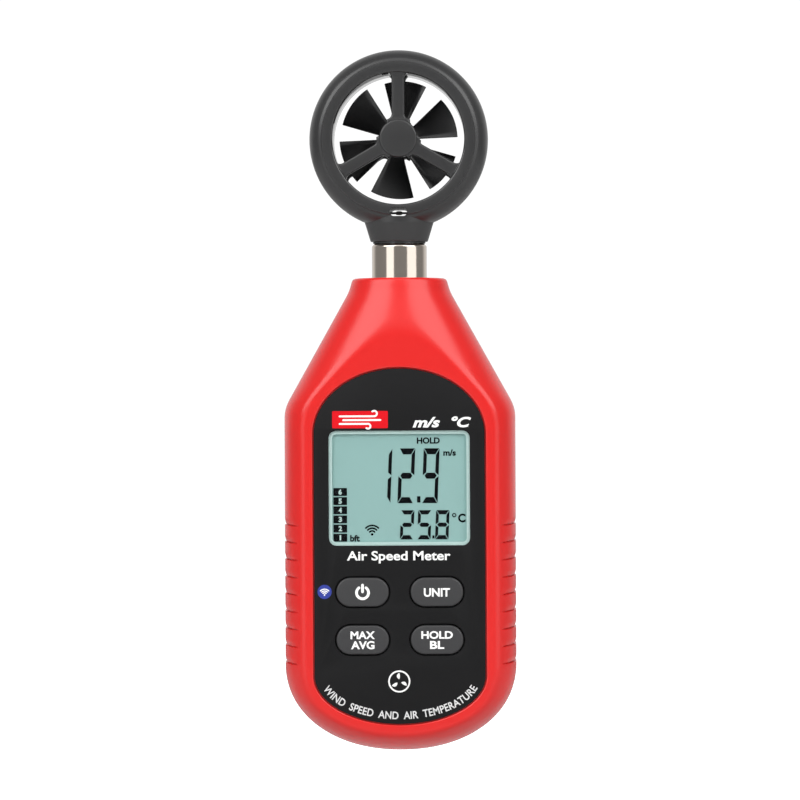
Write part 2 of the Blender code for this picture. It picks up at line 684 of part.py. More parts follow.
def build_swivel():
    """The metal collar fixed in the case, and the tube, clip and washer that let the head turn in it."""
    foot, top = COLLAR_Z
    turned(
        "neck_collar",
        [
            (5.7 * MM, top), (COLLAR_RADIUS, top - 0.6 * MM), (COLLAR_RADIUS, 103.6 * MM),
            (8.4 * MM, 103.6 * MM), (8.4 * MM, 102.0 * MM), (COLLAR_RADIUS, 102.0 * MM),
            (COLLAR_RADIUS, foot), (COLLAR_BORE, foot), (COLLAR_BORE, top),
        ],
        (0, 0, 0), finish="collar_metal", segments=32,
    )
    turned(
        "swivel_washer",
        [(6.0 * MM, 116.15 * MM), (6.0 * MM, 115.85 * MM), (5.0 * MM, 115.85 * MM), (5.0 * MM, 116.15 * MM)],
        (0, 0, 0), finish="dark_rubber", parent=SWIVEL, segments=24,
    )
    turned(
        "swivel_tube",
        [
            (SWIVEL_TUBE_RADIUS, 118.7 * MM), (SWIVEL_TUBE_RADIUS, 98.4 * MM), (4.0 * MM, 98.4 * MM),
            (4.0 * MM, 97.4 * MM), (SWIVEL_TUBE_RADIUS, 97.4 * MM), (SWIVEL_TUBE_RADIUS, 96.2 * MM),
            (3.1 * MM, 96.2 * MM), (3.1 * MM, 118.7 * MM),
        ],
        (0, 0, 0), finish="steel", parent=SWIVEL, segments=32,
    )
    clip = turned(
        "swivel_clip",
        [(6.0 * MM, 98.2 * MM), (6.0 * MM, 97.6 * MM), (4.1 * MM, 97.6 * MM), (4.1 * MM, 98.2 * MM)],
        (0, 0, 0), finish="steel", parent=SWIVEL, segments=20,
    )
    cut(clip, box("clip_mouth", (-2.2 * MM, 0, 96 * MM), (2.2 * MM, 9 * MM, 100 * MM), parent=SWIVEL))
    route = [(0, SOCKET_Y, 86.7 * MM), (0, SOCKET_Y, 88 * MM), (0, SOCKET_Y / 2, 90.5 * MM), (0, 0, 93 * MM)]
    wire("sensor_cable", [*route, (0, 0, 119.1 * MM)], 0.9 * MM, "dark_rubber", sides=2)


# ---------------------------------------------------------------- wind head

def ring_profile(side):
    """Section of one half of the head ring as (radius, y): round outside, a flat lip and a hollow inside."""
    face, split = side * RING_DEPTH / 2, side * GAP / 2
    outer = [
        (RING_RADIUS, split), (20.2 * MM, side * 3.4 * MM), (19.3 * MM, side * 6.0 * MM),
        (17.6 * MM, side * 7.6 * MM), (17.5 * MM, face),
    ]
    inner = [
        (DUCT_RADIUS + 0.4 * MM, face), (DUCT_RADIUS, face - side * 0.5 * MM), (DUCT_RADIUS, split),
        (16.2 * MM, split), (16.2 * MM, side * 6.2 * MM), (18.2 * MM, side * 5.0 * MM), (18.9 * MM, split),
    ]
    profile = outer + inner
    return profile if side < 0 else profile[::-1]


def build_head_shell(name, side):
    """Half of the head: its ring, its half of the neck, three spokes and a hub with a bearing pocket."""
    shell = turned(name, ring_profile(side), (0, 0, HEAD_Z), "Y", "head_plastic", SWIVEL, segments=44)
    split, face = side * GAP / 2, side * RING_DEPTH / 2
    neck = turned(
        f"{name}_neck",
        [
            (0, 125.5 * MM), (6.4 * MM, 125.5 * MM), (7.9 * MM, 121.6 * MM), (7.85 * MM, 120.4 * MM),
            (COLLAR_RADIUS + 0.05 * MM, HEAD_NECK_Z), (0, HEAD_NECK_Z),
        ],
        (0, 0, 0), parent=SWIVEL, segments=28,
    )
    low, high = sorted((split, side * 20 * MM))
    keep(neck, box(f"{name}_half", (-0.02, low, 0.11), (0.02, high, 0.13), parent=SWIVEL))
    cut(neck, drum(f"{name}_duct", DUCT_RADIUS + 0.6 * MM, (0, HEAD_Z), (-0.02, 0.02), segments=32))
    join(shell, neck)
    near, far = sorted((face - side * 0.35 * MM, face - side * SPOKE_DEPTH))
    half = SPOKE_WIDTH / 2
    for angle in SPOKE_ANGLES:
        spoke = box(f"{name}_spoke_{angle}", (2 * MM, near, -half), (DUCT_RADIUS + 0.6 * MM, far, half))
        turn = Matrix.Rotation(-math.radians(angle), 4, "Y")
        spoke.data.transform(turn @ Matrix.Translation(spoke.location))
        spoke.location = (0, 0, HEAD_Z)
        join(shell, spoke)
    ends = (face - side * 0.15 * MM, side * HUB_FACE_Y)
    join(shell, drum(f"{name}_hub", HUB_RADIUS, (0, HEAD_Z), ends, segments=28))
    outline = rounded_rectangle((0, SLOT_Z), (3.9 * MM, 1.9 * MM), 0.9 * MM)
    slot = plate(f"{name}_slot", [outline], -0.012, 0.012)
    low, high = (-4.4 * MM, -2.8 * MM, 118.5 * MM), (4.4 * MM, 2.8 * MM, 121.2 * MM)
    cut(
        shell,
        drum(f"{name}_pocket", 1.5 * MM, (0, HEAD_Z), (0, side * 6.2 * MM), segments=16),
        rod(f"{name}_tube_seat", 5.0 * MM, (0, 0, 0.11), (0, 0, 0.119), "Z"),
        box(f"{name}_board_room", low, high),
        slot,
        rod(f"{name}_lead_bore", 0.6 * MM, (-3.2 * MM, 0, SLOT_Z), (3.2 * MM, 0, SLOT_Z), "X", segments=12),
    )
    for lead in (-1, 1):
        x = lead * 2.7 * MM
        cut(shell, rod(f"{name}_lead_{lead}", 0.55 * MM, (x, 0, 0.12), (x, 0, SLOT_Z), "Z", segments=12))
    return shell


def build_head():
    """Both head shells, their bearings, the speed sensor and the temperature sensor."""
    build_head_shell("head_front_shell", -1)
    rear = build_head_shell("head_rear_shell", 1)
    low, high = (-1.7 * MM, 0, HEAD_Z - 3.5 * MM), (1.7 * MM, 6.0 * MM, HEAD_Z - 2.0 * MM)
    cut(rear, box("speed_sensor_room", low, high, parent=SWIVEL))
    for name, side in (("front_bearing", -1), ("rear_bearing", 1)):
        low, high = sorted((side * HUB_FACE_Y, side * 5.9 * MM))
        turned(
            name, [(1.2 * MM, high), (1.2 * MM, low), (0.68 * MM, low), (0.68 * MM, high)],
            (0, 0, HEAD_Z), "Y", "brass", SWIVEL, segments=20,
        )
    low, high = (-1.4 * MM, 4.3 * MM, HEAD_Z - 3.2 * MM), (1.4 * MM, 5.7 * MM, HEAD_Z - 2.3 * MM)
    box("speed_sensor", low, high, "chip_black", SWIVEL)
    low, high = (-4.0 * MM, -2.4 * MM, 119.5 * MM), (4.0 * MM, 2.4 * MM, 120.3 * MM)
    box("sensor_board", low, high, "circuit_board", SWIVEL)
    x, foot = 2.7 * MM, 120.6 * MM
    route = [(-x, 0, foot), (-x, 0, SLOT_Z), (x, 0, SLOT_Z), (x, 0, foot)]
    wire("temperature_sensor", route, 0.25 * MM, "sensor_ceramic", SWIVEL, sides=1)


def blade_mesh(name):
    """All blades as one cutter mesh: each is a helicoid sheet from hub to tip, given its thickness."""
    bm = bmesh.new()
    radii, chord = np.linspace(3.2 * MM, BLADE_TIP, 4), np.linspace(0, 1, 6)
    for number in range(BLADES):
        start = BLADE_START + number * 2 * math.pi / BLADES
        grid = [
            [
                bm.verts.new((
                    radius * math.cos(start + share * BLADE_SPAN),
                    (share - 0.5) * BLADE_DEPTH,
                    radius * math.sin(start + share * BLADE_SPAN),
                ))
                for share in chord
            ]
            for radius in radii
        ]
        for inner, outer in zip(grid, grid[1:]):
            for k in range(len(chord) - 1):
                bm.faces.new((inner[k], inner[k + 1], outer[k + 1], outer[k]))
    mesh = to_mesh(name, bm)
    blades = add(mesh, name, None, (0, 0, HEAD_Z), SPIN)
    solidify = blades.modifiers.new("thickness", "SOLIDIFY")
    solidify.thickness = 0.8 * MM
    solidify.offset = 0.0
    return blades


def build_impeller():
    """The six-bladed impeller with its shaft and the ring magnet that the speed sensor reads."""
    hub = (0, HEAD_Z)
    impeller = drum("impeller", 3.7 * MM, hub, (-3.6 * MM, 3.6 * MM), "blade_black", SPIN)
    join(impeller, blade_mesh("blades"))
    cut(
        impeller,
        drum("shaft_bore", 0.9 * MM, hub, (-0.01, 0.01), parent=SPIN, segments=16),
        drum("magnet_room", 2.4 * MM, hub, (1.4 * MM, 0.01), parent=SPIN, segments=20),
    )
    drum("impeller_shaft", SHAFT_RADIUS, hub, (-5.7 * MM, 5.7 * MM), "steel", SPIN, 16)
    section = [(2.1 * MM, 3.4 * MM), (2.1 * MM, 1.7 * MM), (0.9 * MM, 1.7 * MM), (0.9 * MM, 3.4 * MM)]
    turned("rotor_magnet", section, (0, 0, HEAD_Z), "Y", "steel", SPIN, segments=20)


build_front_case()
build_rear_case()
build_battery_cover()
build_case_screws()
build_front_panel()
build_display()
build_keys()
build_board()
build_battery_tray()
build_batteries()
build_contacts()
build_swivel()
build_head()
build_impeller()
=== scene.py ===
"""The looks of a handheld vane weather meter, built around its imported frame.

Every length is in metres. Heights are measured up from the bottom end of the case, whose level comes from
the frame, and the display faces -Y. Each sub-assembly is a class that builds its own pieces; each finish
is a small frozen class that builds one material.
"""

import logging
import math
from dataclasses import dataclass, field
from enum import Enum
from typing import Callable, Iterable, Sequence

import bmesh
import bpy
import numpy as np
from mathutils import Matrix, Vector


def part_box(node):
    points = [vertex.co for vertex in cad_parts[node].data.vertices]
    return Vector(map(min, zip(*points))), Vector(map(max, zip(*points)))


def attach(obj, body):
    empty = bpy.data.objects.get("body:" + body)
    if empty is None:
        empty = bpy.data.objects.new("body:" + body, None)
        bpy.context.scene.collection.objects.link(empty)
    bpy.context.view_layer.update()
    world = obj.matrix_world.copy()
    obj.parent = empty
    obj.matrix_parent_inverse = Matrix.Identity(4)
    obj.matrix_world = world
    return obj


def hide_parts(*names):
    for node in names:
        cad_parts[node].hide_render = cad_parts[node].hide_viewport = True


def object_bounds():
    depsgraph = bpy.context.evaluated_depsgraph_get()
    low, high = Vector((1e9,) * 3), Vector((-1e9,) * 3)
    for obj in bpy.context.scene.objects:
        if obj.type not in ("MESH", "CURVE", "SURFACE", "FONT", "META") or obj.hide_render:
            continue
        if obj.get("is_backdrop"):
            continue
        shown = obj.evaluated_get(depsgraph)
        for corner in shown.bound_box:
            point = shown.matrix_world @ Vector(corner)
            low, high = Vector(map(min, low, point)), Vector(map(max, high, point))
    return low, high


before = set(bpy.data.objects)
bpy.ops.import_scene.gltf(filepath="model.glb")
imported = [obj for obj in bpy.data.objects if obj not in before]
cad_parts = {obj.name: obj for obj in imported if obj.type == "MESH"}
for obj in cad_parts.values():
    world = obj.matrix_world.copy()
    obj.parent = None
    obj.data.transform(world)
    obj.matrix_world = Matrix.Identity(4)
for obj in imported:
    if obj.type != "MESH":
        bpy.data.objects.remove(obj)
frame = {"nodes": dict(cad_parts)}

LOG = logging.getLogger("weather_meter")
MM = 0.001

Array = np.ndarray
Colour = tuple[float, float, float]


class Axis(Enum):
    """The direction that a turned piece is turned about."""

    Y = "Y"
    Z = "Z"


class Side(Enum):
    """The half of the meter that a shell belongs to. The value is the sign of its y."""

    FRONT = -1
    REAR = 1


# ---------------------------------------------------------------- node groups that finishes share

GROUPS: dict[str, bpy.types.NodeTree] = {}


def node_group(name: str, inputs: dict[str, object], outputs: dict[str, str]) -> bpy.types.NodeTree:
    """Starts a shader node group.

    Args:
        name: the group's name.
        inputs: input name to its default: a number, a colour of four numbers or a vector of three.
        outputs: output name to socket type.

    Returns:
        The new group, with its two interface nodes named "in" and "out".
    """
    tree = bpy.data.node_groups.new(name, "ShaderNodeTree")
    kinds = {4: "NodeSocketColor", 3: "NodeSocketVector"}
    for label, value in inputs.items():
        kind = "NodeSocketFloat" if isinstance(value, float) else kinds[len(value)]
        tree.interface.new_socket(label, in_out="INPUT", socket_type=kind).default_value = value
    for label, kind in outputs.items():
        tree.interface.new_socket(label, in_out="OUTPUT", socket_type=kind)
    tree.nodes.new("NodeGroupInput").name = "in"
    tree.nodes.new("NodeGroupOutput").name = "out"
    GROUPS[name] = tree
    return tree


def noise(tree: bpy.types.NodeTree, vector: bpy.types.NodeSocket, detail: float) -> bpy.types.Node:
    """A noise texture of unit size, read at vector."""
    texture = tree.nodes.new("ShaderNodeTexNoise")
    texture.inputs["Scale"].default_value = 1.0
    texture.inputs["Detail"].default_value = detail
    tree.links.new(vector, texture.inputs["Vector"])
    return texture


def divided(
    tree: bpy.types.NodeTree, vector: bpy.types.NodeSocket, size: bpy.types.NodeSocket
) -> bpy.types.NodeSocket:
    """The vector divided by a size, so that a texture of unit size has features of that size."""
    share = tree.nodes.new("ShaderNodeVectorMath")
    share.operation = "DIVIDE"
    tree.links.new(vector, share.inputs[0])
    tree.links.new(size, share.inputs[1])
    return share.outputs[0]


def build_groups() -> None:
    """Builds the three effects that the finishes share: drifting colour, handled gloss and moulded grain."""
    tree = node_group(
        "drifting_colour",
        {"Place": (0.0, 0.0, 0.0), "Colour": (1.0, 1.0, 1.0, 1.0), "Size": 0.01, "Amount": 0.05},
        {"Colour": "NodeSocketColor"},
    )
    start, end = tree.nodes["in"], tree.nodes["out"]
    cloud = noise(tree, divided(tree, start.outputs["Place"], start.outputs["Size"]), 2.0)
    swing = tree.nodes.new("ShaderNodeMath")
    swing.operation = "MULTIPLY_ADD"
    swing.inputs[2].default_value = 1.0
    centred = tree.nodes.new("ShaderNodeMath")
    centred.operation = "SUBTRACT"
    centred.inputs[1].default_value = 0.5
    tree.links.new(cloud.outputs["Fac"], centred.inputs[0])
    tree.links.new(centred.outputs[0], swing.inputs[0])
    tree.links.new(start.outputs["Amount"], swing.inputs[1])
    scaled = tree.nodes.new("ShaderNodeVectorMath")
    scaled.operation = "SCALE"
    tree.links.new(start.outputs["Colour"], scaled.inputs[0])
    tree.links.new(swing.outputs[0], scaled.inputs["Scale"])
    tree.links.new(scaled.outputs[0], end.inputs["Colour"])

    tree = node_group(
        "handled_gloss",
        {"Place": (0.0, 0.0, 0.0), "Roughness": 0.4, "Size": 0.006, "Amount": 0.08},
        {"Roughness": "NodeSocketFloat"},
    )
    start, end = tree.nodes["in"], tree.nodes["out"]
    cloud = noise(tree, divided(tree, start.outputs["Place"], start.outputs["Size"]), 4.0)
    centred = tree.nodes.new("ShaderNodeMath")
    centred.operation = "SUBTRACT"
    centred.inputs[1].default_value = 0.5
    spread = tree.nodes.new("ShaderNodeMath")
    spread.operation = "MULTIPLY_ADD"
    tree.links.new(cloud.outputs["Fac"], centred.inputs[0])
    tree.links.new(centred.outputs[0], spread.inputs[0])
    tree.links.new(start.outputs["Amount"], spread.inputs[1])
    tree.links.new(start.outputs["Roughness"], spread.inputs[2])
    tree.links.new(spread.outputs[0], end.inputs["Roughness"])

    tree = node_group(
        "moulded_grain",
        {"Place": (0.0, 0.0, 0.0), "Size": 0.0004, "Depth": 0.000004},
        {"Normal": "NodeSocketVector"},
    )
    start, end = tree.nodes["in"], tree.nodes["out"]
    cloud = noise(tree, divided(tree, start.outputs["Place"], start.outputs["Size"]), 1.0)
    bump = tree.nodes.new("ShaderNodeBump")
    bump.inputs["Strength"].default_value = 1.0
    tree.links.new(cloud.outputs["Fac"], bump.inputs["Height"])
    tree.links.new(start.outputs["Depth"], bump.inputs["Distance"])
    tree.links.new(bump.outputs["Normal"], end.inputs["Normal"])


# ---------------------------------------------------------------- finishes

@dataclass(frozen=True)
class Finish:
    """A plain moulded, printed or metal finish: one colour that drifts slightly, handled gloss and a grain.

    stretch multiplies the texture place along X, Y and Z before the grain reads it, so a value under 1
    draws the grain out into streaks along that direction.
    """

    name: str
    colour: Colour
    roughness: float = 0.4
    metallic: float = 0.0
    tone: float = 0.06
    tone_size: float = 9 * MM
    smudge: float = 0.08
    smudge_size: float = 5 * MM
    grain: float = 0.003 * MM
    grain_size: float = 0.45 * MM
    stretch: tuple[float, float, float] = (1.0, 1.0, 1.0)
    specular: float = 0.5
    coat: float = 0.0
    alpha: float = 1.0

    def tint(self, tree: bpy.types.NodeTree, place: bpy.types.NodeSocket) -> bpy.types.NodeSocket | None:
        """The socket of a patterned colour, or None where the finish has one colour."""
        return None

    def gloss(self, tree: bpy.types.NodeTree, place: bpy.types.NodeSocket) -> bpy.types.NodeSocket | None:
        """The socket of a patterned roughness, or None where the finish has one roughness."""
        return None

    def effect(
        self, tree: bpy.types.NodeTree, group: str, place: bpy.types.NodeSocket, **values: object
    ) -> bpy.types.Node:
        """Places a shared effect and sets its inputs.

        Args:
            tree: the material's nodes.
            group: the effect's name.
            place: where on the piece the effect is read.
            values: input name to a number, a colour or a socket to link.

        Returns:
            The group node.
        """
        node = tree.nodes.new("ShaderNodeGroup")
        node.node_tree = GROUPS[group]
        tree.links.new(place, node.inputs["Place"])
        for label, value in values.items():
            if isinstance(value, bpy.types.NodeSocket):
                tree.links.new(value, node.inputs[label])
            else:
                node.inputs[label].default_value = value
        return node

    def material(self) -> bpy.types.Material:
        """Builds the finish's material, or returns it where it has been built."""
        made = bpy.data.materials.get(f"finish_{self.name}")
        if made:
            return made
        made = bpy.data.materials.new(f"finish_{self.name}")
        made.use_nodes = True
        tree = made.node_tree
        shader = tree.nodes["Principled BSDF"]
        shader.inputs["Metallic"].default_value = self.metallic
        shader.inputs["Specular IOR Level"].default_value = self.specular
        shader.inputs["Coat Weight"].default_value = self.coat
        shader.inputs["Coat Roughness"].default_value = 0.12
        shader.inputs["Alpha"].default_value = self.alpha
        shader.inputs["Base Color"].default_value = (*self.colour, 1.0)
        shader.inputs["Roughness"].default_value = self.roughness
        place = tree.nodes.new("ShaderNodeTexCoord").outputs["Object"]
        tint, gloss = self.tint(tree, place), self.gloss(tree, place)
        if self.tone:
            drift = self.effect(
                tree, "drifting_colour", place,
                Colour=tint or (*self.colour, 1.0), Size=self.tone_size, Amount=self.tone,
            )
            tint = drift.outputs["Colour"]
        if self.smudge:
            smudged = self.effect(
                tree, "handled_gloss", place,
                Roughness=gloss or self.roughness, Size=self.smudge_size, Amount=self.smudge,
            )
            gloss = smudged.outputs["Roughness"]
        if self.grain:
            drawn = tree.nodes.new("ShaderNodeMapping")
            drawn.inputs["Scale"].default_value = self.stretch
            tree.links.new(place, drawn.inputs["Vector"])
            grain = self.effect(
                tree, "moulded_grain", drawn.outputs[0], Size=self.grain_size, Depth=self.grain
            )
            tree.links.new(grain.outputs["Normal"], shader.inputs["Normal"])
        if tint:
            tree.links.new(tint, shader.inputs["Base Color"])
        if gloss:
            tree.links.new(gloss, shader.inputs["Roughness"])
        made.diffuse_color = (*self.colour, 1.0)
        return made


@dataclass(frozen=True)
class BandedFinish(Finish):
    """A finish whose colour changes in bands with height, such as a battery's printed sleeve."""

    levels: tuple[float, ...] = ()
    bands: tuple[Colour, ...] = ()

    def tint(self, tree: bpy.types.NodeTree, place: bpy.types.NodeSocket) -> bpy.types.NodeSocket:
        """Picks a band by comparing the height with each level in turn."""
        split = tree.nodes.new("ShaderNodeSeparateXYZ")
        tree.links.new(place, split.inputs[0])
        socket: bpy.types.NodeSocket | None = None
        for level, band in zip(self.levels, self.bands):
            over = tree.nodes.new("ShaderNodeMath")
            over.operation = "GREATER_THAN"
            over.inputs[1].default_value = level
            tree.links.new(split.outputs["Z"], over.inputs[0])
            mix = tree.nodes.new("ShaderNodeMix")
            mix.data_type = "RGBA"
            mix.inputs["A"].default_value = (*self.colour, 1.0)
            mix.inputs["B"].default_value = (*band, 1.0)
            if socket is not None:
                tree.links.new(socket, mix.inputs["A"])
            tree.links.new(over.outputs[0], mix.inputs["Factor"])
            socket = mix.outputs["Result"]
        return socket


@dataclass(frozen=True)
class BoardFinish(Finish):
    """Green solder mask with paler copper tracks showing through as a fine brick pattern."""

    track: Colour = (0.05, 0.30, 0.12)
    track_pitch: float = 2.2 * MM

    def tint(self, tree: bpy.types.NodeTree, place: bpy.types.NodeSocket) -> bpy.types.NodeSocket:
        """Bricks of mask with tracks for mortar, read on the board's own face."""
        split = tree.nodes.new("ShaderNodeSeparateXYZ")
        flat = tree.nodes.new("ShaderNodeCombineXYZ")
        tree.links.new(place, split.inputs[0])
        tree.links.new(split.outputs["X"], flat.inputs["X"])
        tree.links.new(split.outputs["Z"], flat.inputs["Y"])
        brick = tree.nodes.new("ShaderNodeTexBrick")
        brick.inputs["Color1"].default_value = (*self.colour, 1.0)
        brick.inputs["Color2"].default_value = (*(0.8 * part for part in self.colour), 1.0)
        brick.inputs["Mortar"].default_value = (*self.track, 1.0)
        brick.inputs["Scale"].default_value = 1.0 / self.track_pitch
        brick.inputs["Mortar Size"].default_value = 0.06
        tree.links.new(flat.outputs[0], brick.inputs["Vector"])
        return brick.outputs["Color"]


@dataclass(frozen=True)
class DuctFinish(Finish):
    """The head's satin plastic, polished inside the wind duct where the air runs."""

    centre: tuple[float, float, float] = (0.0, 0.0, 0.0)
    bore: float = 15.1 * MM
    polished: float = 0.06

    def gloss(self, tree: bpy.types.NodeTree, place: bpy.types.NodeSocket) -> bpy.types.NodeSocket:
        """Roughness that falls to the polished value on the duct's wall, between two radii round Y."""
        shift = tree.nodes.new("ShaderNodeVectorMath")
        shift.operation = "SUBTRACT"
        shift.inputs[1].default_value = self.centre
        tree.links.new(place, shift.inputs[0])
        flatten = tree.nodes.new("ShaderNodeVectorMath")
        flatten.operation = "MULTIPLY"
        flatten.inputs[1].default_value = (1.0, 0.0, 1.0)
        tree.links.new(shift.outputs[0], flatten.inputs[0])
        radius = tree.nodes.new("ShaderNodeVectorMath")
        radius.operation = "LENGTH"
        tree.links.new(flatten.outputs[0], radius.inputs[0])
        near = tree.nodes.new("ShaderNodeMath")
        near.operation = "COMPARE"
        near.inputs[1].default_value = self.bore
        near.inputs[2].default_value = 0.25 * MM
        tree.links.new(radius.outputs["Value"], near.inputs[0])
        mix = tree.nodes.new("ShaderNodeMix")
        mix.inputs["A"].default_value = self.roughness
        mix.inputs["B"].default_value = self.polished
        tree.links.new(near.outputs[0], mix.inputs["Factor"])
        return mix.outputs["Result"]


# ---------------------------------------------------------------- outlines and profiles, in metres

def soft_least(first: Array, second: Array | float, blend: float) -> Array:
    """The smaller of two values, rounded off where they differ by less than blend.

    With h = max(blend - |first - second|, 0) / blend, it is min(first, second) - h^2 * blend / 4, so it
    is exactly the smaller value everywhere else.
    """
    share = np.maximum(blend - np.abs(first - second), 0.0) / blend
    return np.minimum(first, second) - share**2 * blend / 4


def soft_most(first: Array, second: Array | float, blend: float) -> Array:
    """The larger of two values, rounded off where they differ by less than blend."""
    return -soft_least(-first, -second, blend)


def eased(share: Array) -> Array:
    """Cubic easing 3s^2 - 2s^3 of a share that is first held between 0 and 1."""
    held = np.clip(share, 0.0, 1.0)
    return held * held * (3.0 - 2.0 * held)


def arc(centre: Sequence[float], radii: Sequence[float], start: float, end: float, steps: int) -> Array:
    """Points along an elliptical arc from start to end degrees."""
    angles = np.radians(np.linspace(start, end, steps))
    return np.column_stack((centre[0] + radii[0] * np.cos(angles), centre[1] + radii[1] * np.sin(angles)))


def round_box(centre: Sequence[float], size: Sequence[float], radius: float, steps: int = 9) -> Array:
    """Outline of a rectangle with round corners."""
    x, z = size[0] / 2 - radius, size[1] / 2 - radius
    corners = ((x, z, 0), (-x, z, 90), (-x, -z, 180), (x, -z, 270))
    return np.vstack([
        arc((centre[0] + dx, centre[1] + dz), (radius, radius), turn, turn + 90, steps)
        for dx, dz, turn in corners
    ])


def rounded(points: Iterable[Sequence[float]], times: int = 3) -> Array:
    """Cuts the corners of an open profile again and again, each time at a quarter of either side."""
    line = np.array(list(points), float)
    for _ in range(times):
        first, last = line[:-1], line[1:]
        cuts = np.stack((0.75 * first + 0.25 * last, 0.25 * first + 0.75 * last), 1).reshape(-1, 2)
        line = np.vstack((line[:1], cuts[1:-1], line[-1:]))
    return line


def stroke(points: Array, width: float) -> Array:
    """Outline of a pen stroke of one width along a line, with round ends."""
    line = np.asarray(points, float)
    along = np.gradient(line, axis=0)
    along /= np.linalg.norm(along, axis=1, keepdims=True)
    side = np.column_stack((-along[:, 1], along[:, 0])) * width / 2
    heading = math.degrees(math.atan2(along[-1, 1], along[-1, 0]))
    leaving = math.degrees(math.atan2(along[0, 1], along[0, 0]))
    tip = arc(line[-1], (width / 2, width / 2), heading + 90, heading - 90, 9)[1:-1]
    tail = arc(line[0], (width / 2, width / 2), leaving - 90, leaving - 270, 9)[1:-1]
    return np.vstack((line + side, tip, (line - side)[::-1], tail))


# ---------------------------------------------------------------- meshes

def to_object(name: str, points: Array, faces: list[list[int]]) -> bpy.types.Object:
    """A closed mesh object from points and faces, its doubles merged and its faces turned outwards."""
    mesh = bpy.data.meshes.new(name)
    mesh.from_pydata(np.asarray(points, float).reshape(-1, 3).tolist(), [], faces)
    bm = bmesh.new()
    bm.from_mesh(mesh)
    bmesh.ops.remove_doubles(bm, verts=bm.verts, dist=1e-7)
    bmesh.ops.recalc_face_normals(bm, faces=bm.faces)
    bm.to_mesh(mesh)
    bm.free()
    obj = bpy.data.objects.new(name, mesh)
    bpy.context.scene.collection.objects.link(obj)
    return obj


def quads(rows: int, columns: int, wrap_rows: bool = False) -> list[list[int]]:
    """Faces of a grid of points whose columns close on themselves, and whose rows can as well."""
    row = np.arange(rows if wrap_rows else rows - 1)[:, None] * columns
    above = (row + columns) % (rows * columns)
    column = np.arange(columns)[None]
    following = (column + 1) % columns
    corners = (row + column, row + following, above + following, above + column)
    return np.stack(corners, -1).reshape(-1, 4).tolist()


def lofted(name: str, rings: Array) -> bpy.types.Object:
    """A closed skin over rings of equally many points. A ring that isn't a single point gets a flat cap."""
    rows, columns = rings.shape[:2]
    faces = quads(rows, columns)
    for row in (0, rows - 1):
        if np.ptp(rings[row], axis=0).max() > 1e-7:
            faces.append(list(range(row * columns, (row + 1) * columns)))
    return to_object(name, rings, faces)


def turned(
    name: str, profile: Iterable[Sequence[float]], axis: Axis, centre: Sequence[float], steps: int = 96
) -> bpy.types.Object:
    """A piece turned about an axis.

    Args:
        name: the piece's name.
        profile: (radius, distance along the axis) points. One that starts and ends on the axis is solid,
            and any other is closed into a ring.
        axis: the direction of the axis.
        centre: where the axis has its zero.
        steps: how many flats there are to a turn.

    Returns:
        The closed piece.
    """
    line = np.array(list(profile), float)
    angles = 2 * math.pi * np.arange(steps) / steps
    across = line[:, :1] * np.cos(angles)
    upward = line[:, :1] * np.sin(angles)
    along = np.repeat(line[:, 1:], steps, axis=1)
    order = (across, along, upward) if axis is Axis.Y else (across, upward, along)
    grid = np.stack(order, -1) + np.asarray(centre, float)
    solid = line[0, 0] == 0 and line[-1, 0] == 0
    return to_object(name, grid, quads(len(line), steps, wrap_rows=not solid))


def block(name: str, low: Sequence[float], high: Sequence[float]) -> bpy.types.Object:
    """A block between two corners."""
    (x0, y0, z0), (x1, y1, z1) = low, high
    ring = np.array([(x0, y0), (x1, y0), (x1, y1), (x0, y1)])
    rings = np.stack([np.column_stack((ring, np.full(4, z))) for z in (z0, z1)])
    return lofted(name, rings)


def drum(
    name: str, radius: float, place: Sequence[float], ends: Sequence[float], steps: int = 48
) -> bpy.types.Object:
    """A cylinder along Y at (x, height), between two y values."""
    near, far = sorted(ends)
    profile = [(0, near), (radius, near), (radius, far), (0, far)]
    return turned(name, profile, Axis.Y, (place[0], 0, place[1]), steps)


def slab(name: str, outline: Callable[[float], Array], levels: Iterable[Sequence[float]]) -> bpy.types.Object:
    """An upright slab. outline gives (x, height) points grown by a distance; levels are (growth, y)."""
    rings = []
    for growth, y in levels:
        points = outline(growth)
        rings.append(np.column_stack((points[:, 0], np.full(len(points), y), points[:, 1])))
    return lofted(name, np.stack(rings))


def thick_sheet(name: str, grid: Array, thickness: Array) -> bpy.types.Object:
    """A closed sheet of a given thickness about a grid of points, with a knife-round edge."""
    along, across = np.gradient(grid, axis=0), np.gradient(grid, axis=1)
    normal = np.cross(along, across)
    normal /= np.linalg.norm(normal, axis=-1, keepdims=True)
    offset = normal * thickness[..., None] / 2
    rows, columns = grid.shape[:2]
    upper = np.concatenate((grid + offset, (grid - offset)[:, ::-1]), axis=1)
    return lofted(name, upper.reshape(rows, 2 * columns, 3))


def flat(
    name: str, outlines: Iterable[Array], front: float, back: float, edge: float = 0.0
) -> bpy.types.Object:
    """A plate between two y values with the given (x, height) outlines; one inside another is a hole.

    edge rounds the plate's corners without moving its outline.
    """
    curve = bpy.data.curves.new(name, "CURVE")
    curve.dimensions = "2D"
    curve.fill_mode = "BOTH"
    curve.extrude = (back - front) / 2 - edge
    curve.bevel_depth = edge
    curve.bevel_resolution = 1
    curve.offset = -edge
    for outline in outlines:
        spline = curve.splines.new("POLY")
        spline.points.add(len(outline) - 1)
        flat_points = np.column_stack((outline, np.zeros(len(outline)), np.ones(len(outline))))
        spline.points.foreach_set("co", flat_points.ravel())
        spline.use_cyclic_u = True
    middle = (front + back) / 2
    return converted(
        name, curve, lambda points: np.column_stack((points[:, 0], middle - points[:, 2], points[:, 1]))
    )


